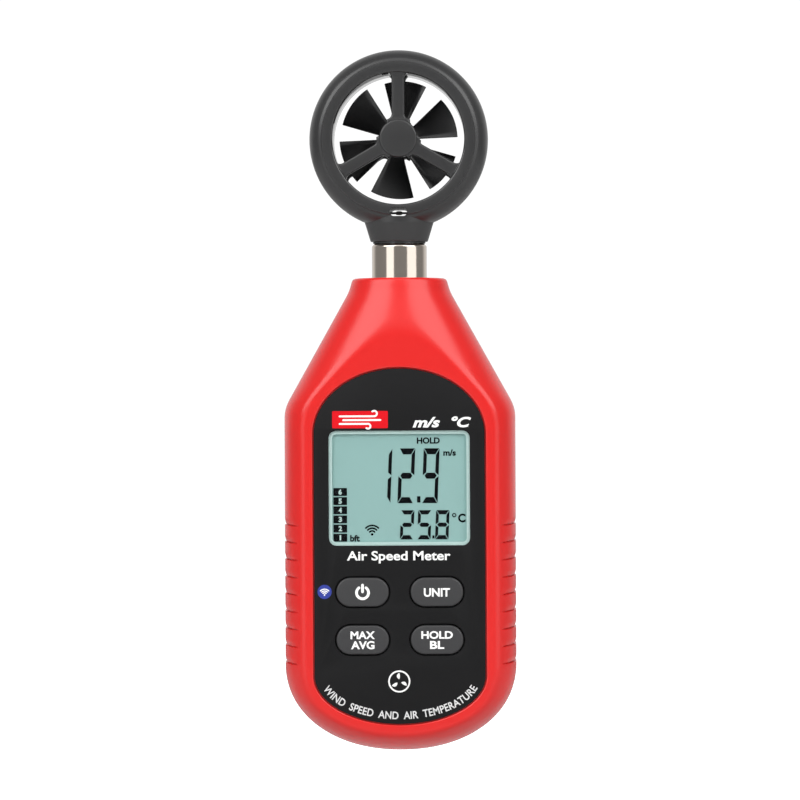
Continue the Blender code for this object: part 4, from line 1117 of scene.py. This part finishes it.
@dataclass
class Display:
    """The liquid crystal cell, its pale frame, and the figures that it shows."""

    place: Place
    height: float = 60.1 * MM
    face: float = -12.6 * MM
    back: float = -9.0 * MM
    ink_depth: float = 0.03 * MM
    lean: float = 0.042
    cell: Finish = Finish("lcd_glass", (0.245, 0.415, 0.395), 0.3, tone=0.03, tone_size=14 * MM, grain=0.0)
    frame: Finish = Finish("lcd_frame", (0.45, 0.62, 0.59), 0.4, tone=0.03, grain=0.0)
    ink: Finish = Finish("lcd_segment", (0.003, 0.004, 0.005), 0.5, tone=0.05, grain=0.0, specular=0.0)

    def segments(
        self, figure: str, corner: Sequence[float], size: Sequence[float], bars: Sequence[float]
    ) -> list[Array]:
        """The seven-bar outlines of a figure.

        Args:
            figure: one of the ten figures.
            corner: the lower left corner of its box from the middle of the display, in millimetres.
            size: the box's width and height.
            bars: thickness of the upright and of the level bars.

        Returns:
            An outline for each bar that is lit.
        """
        lit = {
            "0": "abcdef", "1": "bc", "2": "abged", "3": "abgcd", "4": "fgbc",
            "5": "afgcd", "6": "afgcde", "7": "abc", "8": "abcdefg", "9": "abcdfg",
        }[figure]
        wide, tall = size
        up, level = bars
        half, mid = level / 2, tall / 2
        shapes = {
            "a": [(0, tall), (wide, tall), (wide - up, tall - level), (up, tall - level)],
            "d": [(0, 0), (wide, 0), (wide - up, level), (up, level)],
            "g": [
                (0.4 * up, mid), (up, mid + half), (wide - up, mid + half),
                (wide - 0.4 * up, mid), (wide - up, mid - half), (up, mid - half),
            ],
            "f": [(0, tall), (up, tall - level), (up, mid + half), (0, mid)],
            "e": [(0, 0), (up, level), (up, mid - half), (0, mid)],
            "b": [(wide, tall), (wide - up, tall - level), (wide - up, mid + half), (wide, mid)],
            "c": [(wide, 0), (wide - up, level), (wide - up, mid - half), (wide, mid)],
        }
        made = []
        for bar in lit:
            points = np.array(shapes[bar], float)
            middle = (points.min(0) + points.max(0)) / 2
            gap = np.array((0.0, 0.09)) if bar in "fecb" else np.array((0.11, 0.0))
            points -= gap * np.sign(points - middle)
            points += np.array(corner)
            points[:, 0] += self.lean * points[:, 1]
            made.append(points)
        return made

    def figures(self) -> list[Array]:
        """The wind speed, the temperature and their points."""
        made = []
        for figure, left in (("1", -5.5), ("2", -0.32), ("9", 5.18)):
            made += self.segments(figure, (left, -3.45), (3.6, 12.4), (0.78, 1.36))
        made.append(round_box((4.38, -2.6), (0.78, 1.45), 0.14, 5))
        for figure, left in (("2", 0.55), ("5", 4.45), ("8", 8.5)):
            made += self.segments(figure, (left, -11.65), (3.05, 6.6), (0.66, 0.95))
        made.append(round_box((7.65, -11.1), (0.5, 0.7), 0.1, 5))
        made += [arc((12.39, -6.2), (size, size), 0, 360, 25)[:-1] for size in (0.5, 0.25)]
        return made

    def scale_boxes(self) -> list[Array]:
        """Six boxes of the wind force scale."""
        return [round_box((-13.4, -0.85 - 2.07 * row), (3.1, 1.8), 0.12, 3) for row in range(6)]

    def shape(self, name: str, outlines: list[Array], ink: Finish, layer: int = 1) -> bpy.types.Object:
        """Thin shapes on the cell, given in millimetres from the middle of the display."""
        placed = [outline * MM + np.array((0, self.height)) for outline in outlines]
        face = self.face - layer * self.ink_depth
        obj = flat(name, placed, face, self.face - (layer - 1) * self.ink_depth + 0.01 * MM)
        return self.place.settle(obj, ink, "case", "display")

    def words(
        self, name: str, text: str, size: Sequence[float], centre: Sequence[float], ink: Finish,
        layer: int = 1,
    ) -> bpy.types.Object:
        """A few letters on the cell, placed as shape() does."""
        line = Lettering(
            text, (size[0] * MM, size[1] * MM), (centre[0] * MM, centre[1] * MM + self.height), 0.04
        )
        face = self.face - layer * self.ink_depth
        obj = line.build(name, face, self.face - (layer - 1) * self.ink_depth + 0.01 * MM)
        return self.place.settle(obj, ink, "case", "display")

    def build(self, panel: FacePanel) -> None:
        """Builds the cell, the frame round it and every mark that it shows."""
        middle = (0, self.height)
        ledge = -11.1 * MM
        cell = flat("lcd_face", [round_box(middle, (34 * MM, 28.6 * MM), 0.6 * MM, 5)], ledge, self.back)
        combined(cell, "UNION", flat("lcd_front", [panel.window(-0.6 * MM)], self.face, ledge + 0.3 * MM))
        self.place.settle(cell, self.cell, "case", "display", ["lcd_cell"])
        frame_piece = flat(
            "lcd_frame", [panel.window(0.3 * MM), panel.window(-0.75 * MM)], -13.15 * MM, -13.03 * MM
        )
        walls = [panel.window(-0.52 * MM), panel.window(-0.75 * MM)]
        sleeve = flat("sleeve", walls, -13.08 * MM, self.face - 0.02 * MM)
        combined(frame_piece, "UNION", sleeve)
        self.place.settle(frame_piece, self.frame, "case", "display")
        self.shape("lcd_figures", self.figures(), self.ink)
        self.shape("lcd_scale", self.scale_boxes(), self.ink)
        for row in range(6):
            width = 0.35 if row == 5 else 0.75
            place = (-13.4, -0.85 - 2.07 * row)
            self.words(f"lcd_scale_{6 - row}", str(6 - row), (width, 1.2), place, self.frame, 2)
        self.words("lcd_hold", "HOLD", (5.2, 1.45), (6.6, 10.7), self.ink)
        self.words("lcd_speed_unit", "m/s", (2.85, 1.45), (11.4, 7.95), self.ink)
        self.words("lcd_celsius", "C", (1.7, 2.0), (14.1, -6.85), self.ink)
        self.words("lcd_force", "bft", (2.2, 1.5), (-10.1, -11.35), self.ink)
        self.shape("lcd_wireless", panel.wireless((-6.2, -9.7), 2.6), self.ink)


@dataclass
class Keypad:
    """Four rubber keys with raised white labels. Each rides on its own body."""

    place: Place
    front: float = -14.2 * MM
    edge: float = 0.42 * MM
    rubber: Finish = Finish(
        "key_rubber", (0.024, 0.024, 0.0255), 0.5, tone=0.05, grain=0.004 * MM, grain_size=0.3 * MM
    )
    label: Finish = Finish("key_label", (0.85, 0.85, 0.84), 0.5, tone=0.03, grain=0.0)

    def cap(self, name: str, panel: FacePanel) -> bpy.types.Object:
        """A key: its rounded cap, the flange that stops it and the stem that presses the switch."""
        x, z = panel.keys[name]
        turns = np.radians(np.linspace(0, 90, 7))
        rounding = np.column_stack(
            (self.edge * (np.cos(turns) - 1), self.front + self.edge * (1 - np.sin(turns)))
        )
        levels = [(0, -11.0 * MM), *rounding, (-1.6 * MM, self.front - 0.02 * MM)]
        cap = slab(name + "_cap", lambda growth: panel.key((x, z), growth), levels)
        flange = flat("flange", [round_box((x, z), (13.4 * MM, 8.0 * MM), 3 * MM)], -11.1 * MM, -10.2 * MM)
        stem = drum("stem", 1.6 * MM, (x, z), (-10.5 * MM, -7.3 * MM))
        combined(cap, "UNION", flange, stem)
        return self.place.settle(cap, self.rubber, name, "key_rubber", [name])

    def labelled(self, name: str, obj: bpy.types.Object) -> None:
        """Settles a label on its key."""
        self.place.settle(obj, self.label, name, "key_rubber")

    def build(self, panel: FacePanel) -> None:
        """Builds the keys and their labels."""
        low, high = self.front - 0.06 * MM, self.front
        for name in panel.keys:
            self.cap(name, panel)
        x, z = panel.keys["power_key"]
        ring = arc((x, z - 0.1 * MM), (1.36 * MM, 1.36 * MM), 125, 415, 41)
        bar = np.array(((x, z + 0.1 * MM), (x, z + 0.9 * MM), (x, z + 1.62 * MM)))
        power = flat("power_label", [stroke(ring, 0.6 * MM), stroke(bar, 0.6 * MM)], low, high)
        self.labelled("power_key", power)
        for name, words, size, rise in (
            ("unit_key", "UNIT", (5.9, 1.95), -0.1),
            ("max_avg_key", "MAX", (5.5, 1.75), 1.1),
            ("max_avg_key", "AVG", (5.3, 1.85), -1.15),
            ("hold_light_key", "HOLD", (7.1, 1.75), 1.1),
            ("hold_light_key", "BL", (3.2, 1.8), -1.15),
        ):
            x, z = panel.keys[name]
            line = Lettering(words, (size[0] * MM, size[1] * MM), (x, z + rise * MM), 0.03)
            self.labelled(name, line.build(f"label_{words.lower()}", low, high))


# ---------------------------------------------------------------- the neck and the wind head

@dataclass
class Neck:
    """The polished collar that the head turns in, with its flange held by the case."""

    place: Place
    radius: float = 6.3 * MM
    bore: float = 4.8 * MM
    foot: float = 99.0 * MM
    top: float = 115.75 * MM
    finish: Finish = Finish(
        "collar_metal", (0.66, 0.585, 0.515), 0.13, 1.0, tone=0.04, smudge=0.05,
        grain=0.004 * MM, grain_size=0.9 * MM, stretch=(1.0, 1.0, 0.05),
    )

    def build(self) -> bpy.types.Object:
        """Builds the collar with a chamfered top."""
        r, top = self.radius, self.top
        profile = [
            (5.62 * MM, top), (5.78 * MM, top - 0.04 * MM), (r - 0.08 * MM, top - 0.5 * MM),
            (r, top - 0.66 * MM), (r, top - 0.78 * MM), (r, 103.8 * MM), (r, 103.6 * MM),
            (8.4 * MM, 103.6 * MM), (8.4 * MM, 102 * MM),
            (r, 102 * MM), (r, self.foot), (self.bore, self.foot), (self.bore, top),
        ]
        obj = turned("collar", profile, Axis.Z, (0, 0, 0), 144)
        return self.place.settle(obj, self.finish, "case", "collar_metal", ["neck_collar"], crease=28)


@dataclass
class WindHead:
    """The round wind head: two shells that each have a ring, three spokes, a hub and half of the neck."""

    place: Place
    ring: float = 20.44 * MM
    depth: float = 16.0 * MM
    duct: float = 15.0 * MM
    hub: float = 4.33 * MM
    spoke_width: float = 2.95 * MM
    spoke_depth: float = 2.6 * MM
    spoke_angles: tuple[int, int, int] = (90, 210, 330)
    fillet: float = 1.25 * MM
    slot_height: float = 122.8 * MM
    gap: float = 0.3 * MM

    def __post_init__(self) -> None:
        """The shells' finish needs the head's place, so it is made here."""
        self.finish = DuctFinish(
            "head_plastic", (0.020, 0.020, 0.0205), 0.34, tone=0.05, smudge=0.08,
            centre=(0.0, 0.0, self.place.head + self.place.foot), bore=self.duct + 0.05 * MM,
        )
        self.steel = Finish("sensor_lead", (0.75, 0.74, 0.7), 0.35, tone=0.05, grain=0.0)

    def band(self, side: Side) -> bpy.types.Object:
        """Half of the ring, round outside with a stepped lip round the duct."""
        sign, face = side.value, self.depth / 2
        outer = rounded([
            (20.44, 0.15), (20.44, 2.4), (20.15, 4.4), (19.35, 6.1), (18.3, 7.3), (17.75, 7.55)
        ], 3)
        lip = [(17.62, 7.62), (17.5, 7.72), (17.46, 7.9), (17.38, 7.98), (17.25, 8.0)]
        inner = [
            (15.42, 8.0), (15.2, 7.93), (15.06, 7.76), (15.0, 7.5), (15.0, 0.15),
            (16.2, 0.15), (16.2, 6.2), (18.2, 5.0), (18.9, 0.15),
        ]
        profile = np.vstack((outer, lip, inner)) * MM
        profile[:, 1] = np.minimum(profile[:, 1], face) * sign
        return turned(f"band_{side.name}", profile, Axis.Y, (0, 0, self.place.head), 216)

    def neck(self, side: Side) -> bpy.types.Object:
        """Half of the neck: a cone that flares sideways into the ring."""
        rows = rounded([
            (6.42, 116.25), (6.52, 116.28), (6.6, 116.4), (7.15, 118.2), (7.75, 120.2), (8.0, 120.9),
            (8.5, 121.5), (8.5, 124.6),
        ], 2) * MM
        deep = np.minimum(rows[:, 0], 7.86 * MM)
        angle = 2 * math.pi * np.arange(96) / 96
        rings = np.stack([
            np.column_stack((wide * np.cos(angle), back * np.sin(angle), np.full(96, z)))
            for (wide, z), back in zip(rows, deep)
        ])
        cone = halved(lofted(f"cone_{side.name}", rings), side.value * self.gap / 2, side)
        room = drum("duct_room", self.duct + 0.6 * MM, (0, self.place.head), (-0.02, 0.02), 96)
        return combined(cone, "DIFFERENCE", room)

    def spoke(self, angle: int, side: Side) -> bpy.types.Object:
        """A spoke with soft edges that widens where it meets the hub and the ring."""
        along = np.concatenate((
            [3.0 * MM], np.linspace(self.hub - 0.1 * MM, self.hub + self.fillet, 9),
            np.linspace(self.duct - self.fillet, self.duct, 9), [self.duct + 0.55 * MM],
        ))
        near = np.clip((along - self.hub) / self.fillet, 0, 1)
        far = np.clip((self.duct - along) / self.fillet, 0, 1)
        flare = (1 - np.sqrt(1 - (1 - near) ** 2)) + (1 - np.sqrt(1 - (1 - far) ** 2))
        face = self.depth / 2 - 0.28 * MM
        middle = face - self.spoke_depth / 2
        rings = []
        for distance, more in zip(along, flare):
            wide = self.spoke_width + 2 * more * self.fillet
            section = round_box((0, middle), (wide, self.spoke_depth), 0.45 * MM, 6)
            outward = np.full(len(section), distance)
            rings.append(np.column_stack((outward, side.value * section[:, 1], section[:, 0])))
        spoke = lofted(f"spoke_{angle}", np.stack(rings))
        turn = Matrix.Rotation(-math.radians(angle), 4, "Y")
        spoke.data.transform(Matrix.Translation((0, 0, self.place.head)) @ turn)
        return spoke

    def boss(self, side: Side) -> bpy.types.Object:
        """The hub with its softened face edge."""
        line = [(0, 7.98), (3.85, 7.98), (4.05, 7.94), (4.24, 7.8), (4.33, 7.55), (4.33, 4.2), (0, 4.2)]
        profile = np.array(line) * MM * np.array((1, side.value))
        return turned(f"boss_{side.name}", profile, Axis.Y, (0, 0, self.place.head), 96)

    def shell(self, side: Side) -> bpy.types.Object:
        """One shell, with its bearing pocket, the slot over the sensor and room for the board and tube."""
        shell = self.band(side)
        spokes = [self.spoke(angle, side) for angle in self.spoke_angles]
        combined(shell, "UNION", self.neck(side), self.boss(side), *spokes)
        slot = flat("slot", [round_box((0, self.slot_height), (3.9 * MM, 1.9 * MM), 0.9 * MM)], -0.012, 0.012)
        room = block("board_room", (-4.4 * MM, -2.8 * MM, 118.5 * MM), (4.4 * MM, 2.8 * MM, 121.2 * MM))
        bore = [(0, 110 * MM), (5 * MM, 110 * MM), (5 * MM, 119 * MM), (0, 119 * MM)]
        seat = turned("tube_seat", bore, Axis.Z, (0, 0, 0), 64)
        pocket = drum("pocket", 1.5 * MM, (0, self.place.head), (0, side.value * 6.2 * MM))
        tools = [slot, room, seat, pocket]
        if side is Side.REAR:
            low, high = self.place.head - 3.5 * MM, self.place.head - 2.0 * MM
            tools.append(block("speed_room", (-1.7 * MM, 0, low), (1.7 * MM, 6.0 * MM, high)))
        combined(shell, "DIFFERENCE", *tools)
        shell.name = f"wind_head_{side.name.lower()}"
        node = f"head_{side.name.lower()}_shell"
        return self.place.settle(shell, self.finish, "head", "head_plastic", [node], crease=36)

    def sensor(self) -> bpy.types.Object:
        """The temperature sensor: a fine lead across the slot, with a bead at its middle."""
        foot, top, half, bend = 120.6 * MM, self.slot_height, 2.7 * MM, 0.5 * MM
        left = arc((-half + bend, top - bend), (bend, bend), 180, 90, 7)
        right = arc((half - bend, top - bend), (bend, bend), 90, 0, 7)
        bead = np.column_stack((np.linspace(-0.9, 0.9, 25) * MM, np.full(25, top)))
        run = np.vstack(([(-half, foot)], left, bead, right, [(half, foot)]))
        swell = np.sqrt(np.maximum(1 - (run[:, 0] / (0.75 * MM)) ** 2, 0)) * (run[:, 1] > top - MM / 10)
        radius = 0.25 * MM + 0.22 * MM * swell
        ahead = np.gradient(run, axis=0)
        ahead /= np.linalg.norm(ahead, axis=1, keepdims=True)
        angle = 2 * math.pi * np.arange(16) / 16
        upward = np.column_stack((-ahead[:, 1], ahead[:, 0]))[:, None] * np.cos(angle)[None, :, None]
        level = run[:, None] + radius[:, None, None] * upward
        depth = radius[:, None] * np.sin(angle)
        obj = lofted("temperature_lead", np.stack((level[..., 0], depth, level[..., 1]), -1))
        return self.place.settle(obj, self.steel, "head", "sensor_ceramic", ["temperature_sensor"])

    def build(self) -> None:
        """Builds both shells and the sensor."""
        self.shell(Side.FRONT)
        self.shell(Side.REAR)
        self.sensor()


@dataclass
class Impeller:
    """Six twisted blades on a hub, whose shaft runs in both hubs' bearings."""

    place: Place
    count: int = 6
    tip: float = 13.5 * MM
    root: float = 3.2 * MM
    hub: float = 3.7 * MM
    depth: float = 5.6 * MM
    sweep: float = math.radians(42)
    start: float = math.radians(2.0)
    thickness: float = 0.8 * MM
    finish: Finish = Finish("blade_black", (0.012, 0.012, 0.0125), 0.33, tone=0.1, grain=0.002 * MM)

    def blade(self, number: int) -> bpy.types.Object:
        """A helicoid blade: the angle and the y of a point both grow with its share of the chord."""
        radius = np.linspace(self.root, self.tip, 18)[:, None]
        share = np.linspace(0.0, 1.0, 25)[None]
        angle = self.start + number * 2 * math.pi / self.count + share * self.sweep
        y = (share - 0.5) * self.depth + 0 * radius
        height = self.place.head + radius * np.sin(angle)
        grid = np.stack((radius * np.cos(angle), y, height), -1)
        taper = np.clip(np.sin(math.pi * np.clip(share, 0.0, 1.0)) * 3.0 + 0.35, 0.0, 1.0)
        thin = self.thickness * taper * (1.0 - 0.3 * (radius - self.root) / (self.tip - self.root))
        return thick_sheet(f"blade_{number}", grid, thin)

    def build(self) -> bpy.types.Object:
        """Unites the blades with the hub and bores it for the shaft and the magnet."""
        edge = [
            (0, -3.6), (3.35, -3.6), (3.6, -3.5), (3.7, -3.25),
            (3.7, 3.25), (3.6, 3.5), (3.35, 3.6), (0, 3.6),
        ]
        centre = (0, 0, self.place.head)
        hub = turned("impeller_rotor", np.array(edge) * MM, Axis.Y, centre, 64)
        combined(hub, "UNION", *(self.blade(number) for number in range(self.count)))
        spot = (0, self.place.head)
        bore = drum("bore", 0.9 * MM, spot, (-0.01, 0.01))
        room = drum("room", 2.4 * MM, spot, (1.4 * MM, 0.01))
        combined(hub, "DIFFERENCE", bore, room)
        return self.place.settle(hub, self.finish, "impeller", "blade_black", ["impeller"])


# ---------------------------------------------------------------- the pieces inside, and the studio

@dataclass
class Insides:
    """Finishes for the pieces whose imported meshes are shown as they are."""

    nodes: dict[str, bpy.types.Object]
    rubber: Finish = Finish("dark_rubber", (0.022, 0.022, 0.022), 0.7, grain=0.01 * MM)
    steel: Finish = Finish(
        "plain_steel", (0.55, 0.55, 0.56), 0.25, 1.0, tone=0.08, grain=0.001 * MM, stretch=(1.0, 1.0, 0.2)
    )
    chip: Finish = Finish(
        "chip_black", (0.02, 0.02, 0.021), 0.45, tone=0.1, grain=0.006 * MM, grain_size=0.2 * MM
    )
    light: Finish = Finish("milky_plastic", (0.82, 0.84, 0.83), 0.4, tone=0.03)
    brass: Finish = Finish("brass", (0.72, 0.5, 0.22), 0.3, 1.0, tone=0.12)
    tray: Finish = Finish("tray_plastic", (0.02, 0.02, 0.02), 0.5, tone=0.08)
    board: Finish = BoardFinish("circuit_board", (0.015, 0.13, 0.055), 0.4, tone=0.08)

    def sleeve(self, name: str, node: bpy.types.Object, button_up: bool) -> Finish:
        """A battery's sleeve: bare steel ends, a dark body and a pale band near the button."""
        low, high = (corner.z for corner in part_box(node.name))
        steel, dark, band = (0.55, 0.55, 0.56), (0.018, 0.03, 0.085), (0.62, 0.62, 0.60)
        rim, broad = 1.5 * MM, 9.0 * MM
        if button_up:
            levels = (low + 0.5 * MM, high - rim - broad, high - rim)
            bands = (dark, band, steel)
        else:
            levels = (low + rim, low + rim + broad, high - 0.5 * MM)
            bands = (band, dark, steel)
        return BandedFinish(name, steel, 0.3, tone=0.04, levels=levels, bands=bands)

    def build(self) -> None:
        """Dresses every node that is still shown."""
        cell_slots = ("battery_1", "battery_2", "battery_3")
        plain = (
            (self.board, "circuit_board", ("main_board", "sensor_board")),
            (self.chip, "chip_black", ("microcontroller", "voltage_regulator", "speed_sensor")),
            (self.light, "backlight", ("backlight_guide", "backlight_lamp", "sensor_socket")),
            (self.rubber, "dark_rubber", (
                "contact_strip_upper", "contact_strip_lower", "keypad_sheet", "sensor_cable", "swivel_washer",
            )),
            (self.brass, "brass", (
                "contact_link_upper", "contact_end_upper", "contact_link_lower", "contact_end_lower",
                "front_bearing", "rear_bearing",
            )),
            (self.steel, "steel", (
                "wireless_module", "clock_crystal", "swivel_tube", "swivel_clip", "rotor_magnet",
                "impeller_shaft", "battery_spring_1", "battery_spring_2", "battery_spring_3",
                "power_switch", "unit_switch", "max_avg_switch", "hold_light_switch",
            )),
            (self.tray, "tray_plastic", ("battery_tray",)),
        )
        for finish, slot, names in plain:
            for name in names:
                self.dress(name, finish)
        for number, name in enumerate(cell_slots):
            finish = self.sleeve(f"sleeve_{number + 1}", self.nodes[name], number != 1)
            self.dress(name, finish)

    def dress(self, name: str, finish: Finish) -> None:
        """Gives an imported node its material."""
        node = self.nodes[name]
        node.data.materials.clear()
        node.data.materials.append(finish.material())
        LOG.info("%s: %s", name, finish.name)


@dataclass
class Studio:
    """A pale floor, three high softboxes, two low ones, a weak light overhead, and the camera in front."""

    place: Place
    aim: float = 80.0 * MM
    distance: float = 0.998
    azimuth: float = 1.1
    roll: float = -0.27
    lens: float = 196.0
    floor_drop: float = 60.0 * MM
    surround: float = 0.28
    behind: float = 0.8

    def world(self) -> None:
        """A white surround for the camera, which lights the object as a grey one that is paler behind it."""
        world = bpy.data.worlds.new("surround")
        bpy.context.scene.world = world
        world.use_nodes = True
        nodes, links = world.node_tree.nodes, world.node_tree.links
        plain = nodes["Background"]
        place = nodes.new("ShaderNodeTexCoord")
        split = nodes.new("ShaderNodeSeparateXYZ")
        depth = nodes.new("ShaderNodeMapRange")
        depth.interpolation_type = "SMOOTHSTEP"
        depth.inputs["From Min"].default_value = 0.35
        depth.inputs["From Max"].default_value = 0.8
        depth.inputs["To Min"].default_value = self.surround
        depth.inputs["To Max"].default_value = self.behind
        links.new(place.outputs["Generated"], split.inputs[0])
        links.new(split.outputs["Y"], depth.inputs["Value"])
        links.new(depth.outputs["Result"], plain.inputs["Strength"])
        plain.inputs["Color"].default_value = (1.0, 1.0, 1.0, 1.0)
        white = nodes.new("ShaderNodeBackground")
        white.inputs["Color"].default_value = (1.0, 1.0, 1.0, 1.0)
        white.inputs["Strength"].default_value = 1.05
        path = nodes.new("ShaderNodeLightPath")
        mix = nodes.new("ShaderNodeMixShader")
        links.new(path.outputs["Is Camera Ray"], mix.inputs["Fac"])
        links.new(plain.outputs[0], mix.inputs[1])
        links.new(white.outputs[0], mix.inputs[2])
        links.new(mix.outputs[0], nodes["World Output"].inputs["Surface"])

    def softbox(
        self, name: str, azimuth: float, elevation: float, distance: float, size: Sequence[float],
        power: float,
    ) -> None:
        """A rectangular area light that faces the meter.

        Args:
            name: the light's name.
            azimuth: degrees round from the front, positive towards +X.
            elevation: degrees above the horizon.
            distance: from the meter.
            size: width and height.
            power: in watts.
        """
        light = bpy.data.lights.new(name, "AREA")
        light.shape = "RECTANGLE"
        light.size, light.size_y = size
        light.energy = power
        obj = bpy.data.objects.new(name, light)
        bpy.context.scene.collection.objects.link(obj)
        turn, rise = math.radians(azimuth), math.radians(elevation)
        away = Vector((math.sin(turn) * math.cos(rise), -math.cos(turn) * math.cos(rise), math.sin(rise)))
        obj.location = away * distance + Vector((0, 0, self.place.foot + self.aim))
        obj.rotation_euler = away.to_track_quat("Z", "Y").to_euler()
        obj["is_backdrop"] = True

    def floor(self) -> None:
        """A floor that looks white and throws back little light."""
        level = self.place.foot - self.floor_drop
        mesh = bpy.data.meshes.new("floor")
        mesh.from_pydata([(-3, -3, level), (3, -3, level), (3, 3, level), (-3, 3, level)], [], [(0, 1, 2, 3)])
        obj = bpy.data.objects.new("floor", mesh)
        bpy.context.scene.collection.objects.link(obj)
        material = bpy.data.materials.new("floor")
        material.use_nodes = True
        nodes, links = material.node_tree.nodes, material.node_tree.links
        bright = nodes["Principled BSDF"]
        bright.inputs["Base Color"].default_value = (0.9, 0.9, 0.9, 1.0)
        bright.inputs["Roughness"].default_value = 0.9
        bright.inputs["Emission Color"].default_value = (1.0, 1.0, 1.0, 1.0)
        bright.inputs["Emission Strength"].default_value = 0.9
        dim = nodes.new("ShaderNodeBsdfDiffuse")
        dim.inputs["Color"].default_value = (0.66, 0.66, 0.66, 1.0)
        path = nodes.new("ShaderNodeLightPath")
        mix = nodes.new("ShaderNodeMixShader")
        links.new(path.outputs["Is Camera Ray"], mix.inputs["Fac"])
        links.new(dim.outputs[0], mix.inputs[1])
        links.new(bright.outputs[0], mix.inputs[2])
        links.new(mix.outputs[0], nodes["Material Output"].inputs["Surface"])
        mesh.materials.append(material)
        obj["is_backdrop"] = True

    def camera(self) -> None:
        """A level camera in front of the display, turned a little to the right."""
        data = bpy.data.cameras.new("camera")
        data.lens, data.sensor_width = self.lens, 36.0
        data.clip_start, data.clip_end = 0.05, 20.0
        obj = bpy.data.objects.new("camera", data)
        bpy.context.scene.collection.objects.link(obj)
        turn = math.radians(self.azimuth)
        away = Vector((math.sin(turn), -math.cos(turn), 0.0))
        obj.location = away * self.distance + Vector((0, 0, self.place.foot + self.aim))
        facing = away.to_track_quat("Z", "Y").to_matrix().to_4x4()
        obj.rotation_euler = (facing @ Matrix.Rotation(math.radians(self.roll), 4, "Z")).to_euler()
        bpy.context.scene.camera = obj

    def build(self) -> None:
        """Builds the floor, lights and camera."""
        self.world()
        self.floor()
        self.softbox("left_low", -38, -2, 1.3, (0.75, 0.45), 1.5)
        self.softbox("right_low", 55, -2, 1.3, (1.0, 0.45), 1.9)
        self.softbox("middle_high", 0, 33, 1.3, (0.9, 0.7), 1.3)
        self.softbox("left_high", -46, 33, 1.3, (1.15, 0.85), 12.8)
        self.softbox("right_high", 48, 33, 1.3, (1.15, 0.85), 11.5)
        self.softbox("overhead", 0, 66, 1.3, (1.2, 0.7), 3.5)
        self.camera()
        bpy.context.scene.view_settings.view_transform = "Standard"


def corners() -> list[list[float]]:
    """The lowest and highest corners of all that is shown, as plain lists."""
    return [list(corner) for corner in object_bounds()]


def main() -> None:
    """Builds every sub-assembly in order."""
    logging.basicConfig(level=logging.INFO, format="%(message)s")
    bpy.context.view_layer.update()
    build_groups()
    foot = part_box("front_case")[0].z
    shaft_low, shaft_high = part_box("impeller_shaft")
    place = Place(foot, (shaft_low.z + shaft_high.z) / 2 - foot)
    panel = FacePanel(place)
    case = Case(place)
    case.front(panel)
    case.rear()
    case.cover()
    case.screws()
    panel.build()
    Display(place).build(panel)
    Keypad(place).build(panel)
    Neck(place).build()
    WindHead(place).build()
    Impeller(place).build()
    Insides(frame["nodes"]).build()
    Studio(place).build()


if __name__ == "__main__":
    main()
